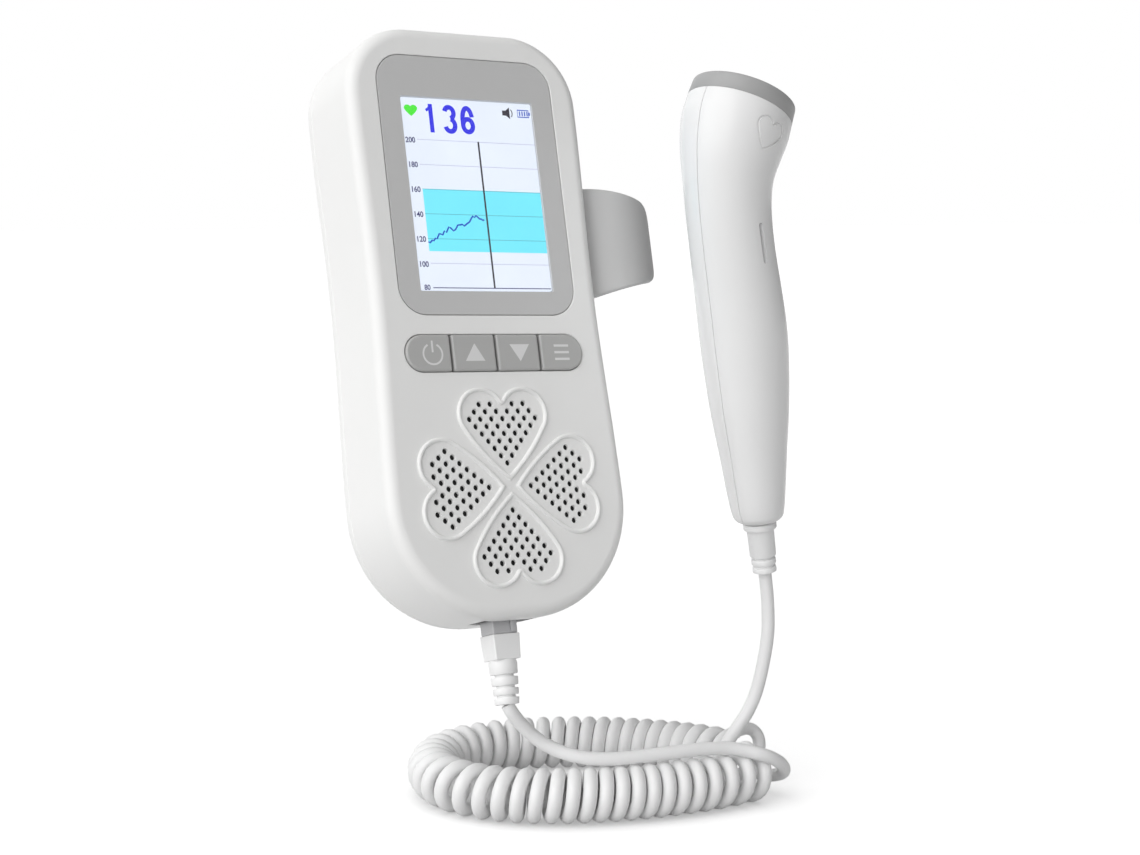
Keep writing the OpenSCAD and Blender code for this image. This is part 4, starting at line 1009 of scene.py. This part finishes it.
def surface_y(x, z):
    hit = skin.ray_cast(Vector((x, -40, z)), Vector((0, 1, 0)))[0]
    return hit.y if hit else -4.0


def engraving(place_x, place_z, height, turn, width, depth):
    """A heart-shaped band that reaches a little way into the probe's surface."""
    size = height / (LOBE_OUT + HEART_R - HEART_TIP)
    middle = (LOBE_OUT + HEART_TIP) / 2
    cos, sin = math.cos(math.radians(turn)), math.sin(math.radians(turn))
    points = []
    for grow, lift in ((-0.001, -1.5), (-width / size, -1.5), (-width / size, depth), (-0.001, depth)):
        for out, up in heart_outline(grow, 40):
            out, up = out * size, (up - middle) * size
            x, z = place_x + out * cos + up * sin, place_z - out * sin + up * cos
            points.append((x, surface_y(x, z) + lift, z))
    return points, flipped(loft_faces(4, len(points) // 4, loop=True))


slot_x = station(SLOT_Z)[0] - 0.4
slot = moved(prism(round_rect(1.25, 10.2, 0.6, 8), -30, -8.9), slot_x, 0, SLOT_Z, SLOT_TURN)
mark = engraving(station(112)[0] - 2.8, 109.7, height=8.2, turn=26, width=0.6, depth=0.4)
weigh(carved("probe_front_cover", front_half, PROBE, probe_white, "probe",
             "probe_front_shell", [slot, mark]))
probe_sinks = joined(*(moved(prism(circle(SINK_R), 6, 30), station(z)[0], 0, z) for z in (36, 97)))
weigh(carved("probe_rear_cover", rear_half, PROBE, probe_white, "probe",
             "probe_rear_shell", [probe_sinks]))
lit_bar = stack(growing_rect(0.9, 9.8, 0.42, 6), [(-0.2, -9.75), (0, -9.6), (0, -7.6)])
plain("light_bar", moved(lit_bar, slot_x, 0, SLOT_Z, SLOT_TURN), PROBE, light_bar, "probe",
      "probe_light")


def quarter(r, z, across, up, steps=7):
    """Profile points of a quarter round, from its outer side to its top."""
    turns = [math.pi / 2 * k / steps for k in range(steps + 1)]
    return [(r + across * math.cos(a), z + up * math.sin(a)) for a in turns]


ring_profile = [(11.5, 0), (HEAD_R - 0.15, 0), (HEAD_R, 0.15), (13.26, RING_H - 0.6),
                *quarter(12.66, RING_H - 0.6, 0.6, 0.6),
                (11.8, RING_H), (11.6, RING_H - 0.06), (11.5, RING_H - 0.3)]
plain("head_ring", lathe(ring_profile, 96, closed=True), HEAD, ring_grey, "probe",
      "probe_ring", crease=50)
face_profile = [(0.02, RING_H - 3), (11.4, RING_H - 3), (11.45, RING_H - 1.2),
                *quarter(10.45, RING_H - 1.0, 1, 0.8),
                (8, RING_H - 0.1), (4, RING_H - 0.03), (0.02, RING_H)]
plain("head_face", lathe(face_profile, 96), HEAD, face_pad, "probe", "probe_face", crease=50)

relief_profile = [(1.75, 0), (2.9, 0), (3.05, 0.08), (3.1, 0.3), (3.1, 1.1), (3.02, 1.35), (2.5, 1.45),
                  (2.5, 2.05), (3.1, 2.12), (3.2, 2.35), (3.2, 3.3), (3.1, 3.58), (2.5, 3.65),
                  (2.5, 4.25), (3.3, 4.32), (3.4, 4.55), (3.5, 11.3), (3.6, 11.5), (4.15, 11.55),
                  (4.3, 11.75), (4.3, 13.0), (4.1, 13.25), (3.4, 13.3), (3.3, 16.3), (0.5, 16.3)]
plain("relief_tail", lathe(relief_profile, 48), RELIEF, boot_white, "probe", "probe_relief",
      crease=40)


# ------------------------------ floor and light

FLOOR_HALF_M, FLOOR_GAP_M = 12, 0.0001
# the floor's grey, then the grey and reach of its painted contact shadow
FLOOR_GREY, PAINTED_SHADOW_GREY, PAINTED_SHADOW_REACH_M = (208, 208, 208), (186, 186, 186), 0.014
# the third glow is the floor's glow inside its painted contact shadow
WHITE, BLACK, PAINTED_SHADOW_GLOW, GLOW = ((glow, glow, glow, 1) for glow in (1, 0, 0.36, 0.62))
# for step: where across the studio the light and its mirror image fade, and from what to what
LIGHT_FADE, MIRROR_FADE = (0.0, 0.58, 0.76, 0.04), (0.1, 0.8, 1.0, 0.35)


def add_floor():
    """A white floor with a painted contact shadow: a little darker where the object stands on it."""
    floor = bpy.data.meshes.new("floor")
    corners = ((-1, -1), (1, -1), (1, 1), (-1, 1))
    z = FLOOR_PLACE.z * MM - FLOOR_GAP_M
    floor.from_pydata([(x * FLOOR_HALF_M, y * FLOOR_HALF_M, z) for x, y in corners], [], [(0, 1, 2, 3)])
    finish = Finish("white_floor", FLOOR_GREY, roughness=1.0, specular_ior_level=0.0)
    seen = finish.ray("Camera") + finish.ray("Glossy") + finish.ray("Transmission")
    # painted contact shadow: ambient occlusion darkens the floor's colour and its glow near the object
    clear_of_painted_shadow = finish.node("AmbientOcclusion", {"Distance": PAINTED_SHADOW_REACH_M}, out=1, samples=8)
    clear_of_painted_shadow = finish.step(clear_of_painted_shadow, 0.05, 0.97)
    finish.set(base_color=finish.blend(clear_of_painted_shadow, linear(PAINTED_SHADOW_GREY), finish.colour),
               emission_color=finish.blend(seen, BLACK, finish.blend(clear_of_painted_shadow, PAINTED_SHADOW_GLOW, GLOW)),
               emission_strength=1.0)
    floor.materials.append(finish.material)
    linked("floor", floor)


def add_world():
    """A studio that looks white, with a light that falls off towards the right."""
    world = bpy.data.worlds.new("studio")
    bpy.context.scene.world = world
    sky = Nodes(world, "World")
    right = sky.node("SeparateXYZ", {0: sky.place("Generated")})
    light = sky.node("Background", {"Color": WHITE, "Strength": sky.step(right, *LIGHT_FADE)})
    mirrored = sky.ray("Glossy") * sky.step(right, *MIRROR_FADE)
    seen = sky.ray("Camera") + mirrored + sky.ray("Transmission")
    white = sky.node("Background", {"Color": WHITE})
    sky.feed(sky.output, {0: sky.node("MixShader", {0: seen, 1: light, 2: white})})


def add_lamp(name, towards, spread, strength):
    """A wide soft light that shines from one direction."""
    lamp = bpy.data.lights.new(name, "SUN")
    lamp.angle, lamp.energy = math.radians(spread), strength
    made = linked(name, lamp)
    made.rotation_mode = "QUATERNION"
    made.rotation_quaternion = Vector(towards).to_track_quat("Z", "Y")


add_floor()
add_world()
add_lamp("left_softbox", (-0.9, -0.28, 0.4), spread=70, strength=1.55)

bpy.context.scene.view_settings.view_transform = "Standard"
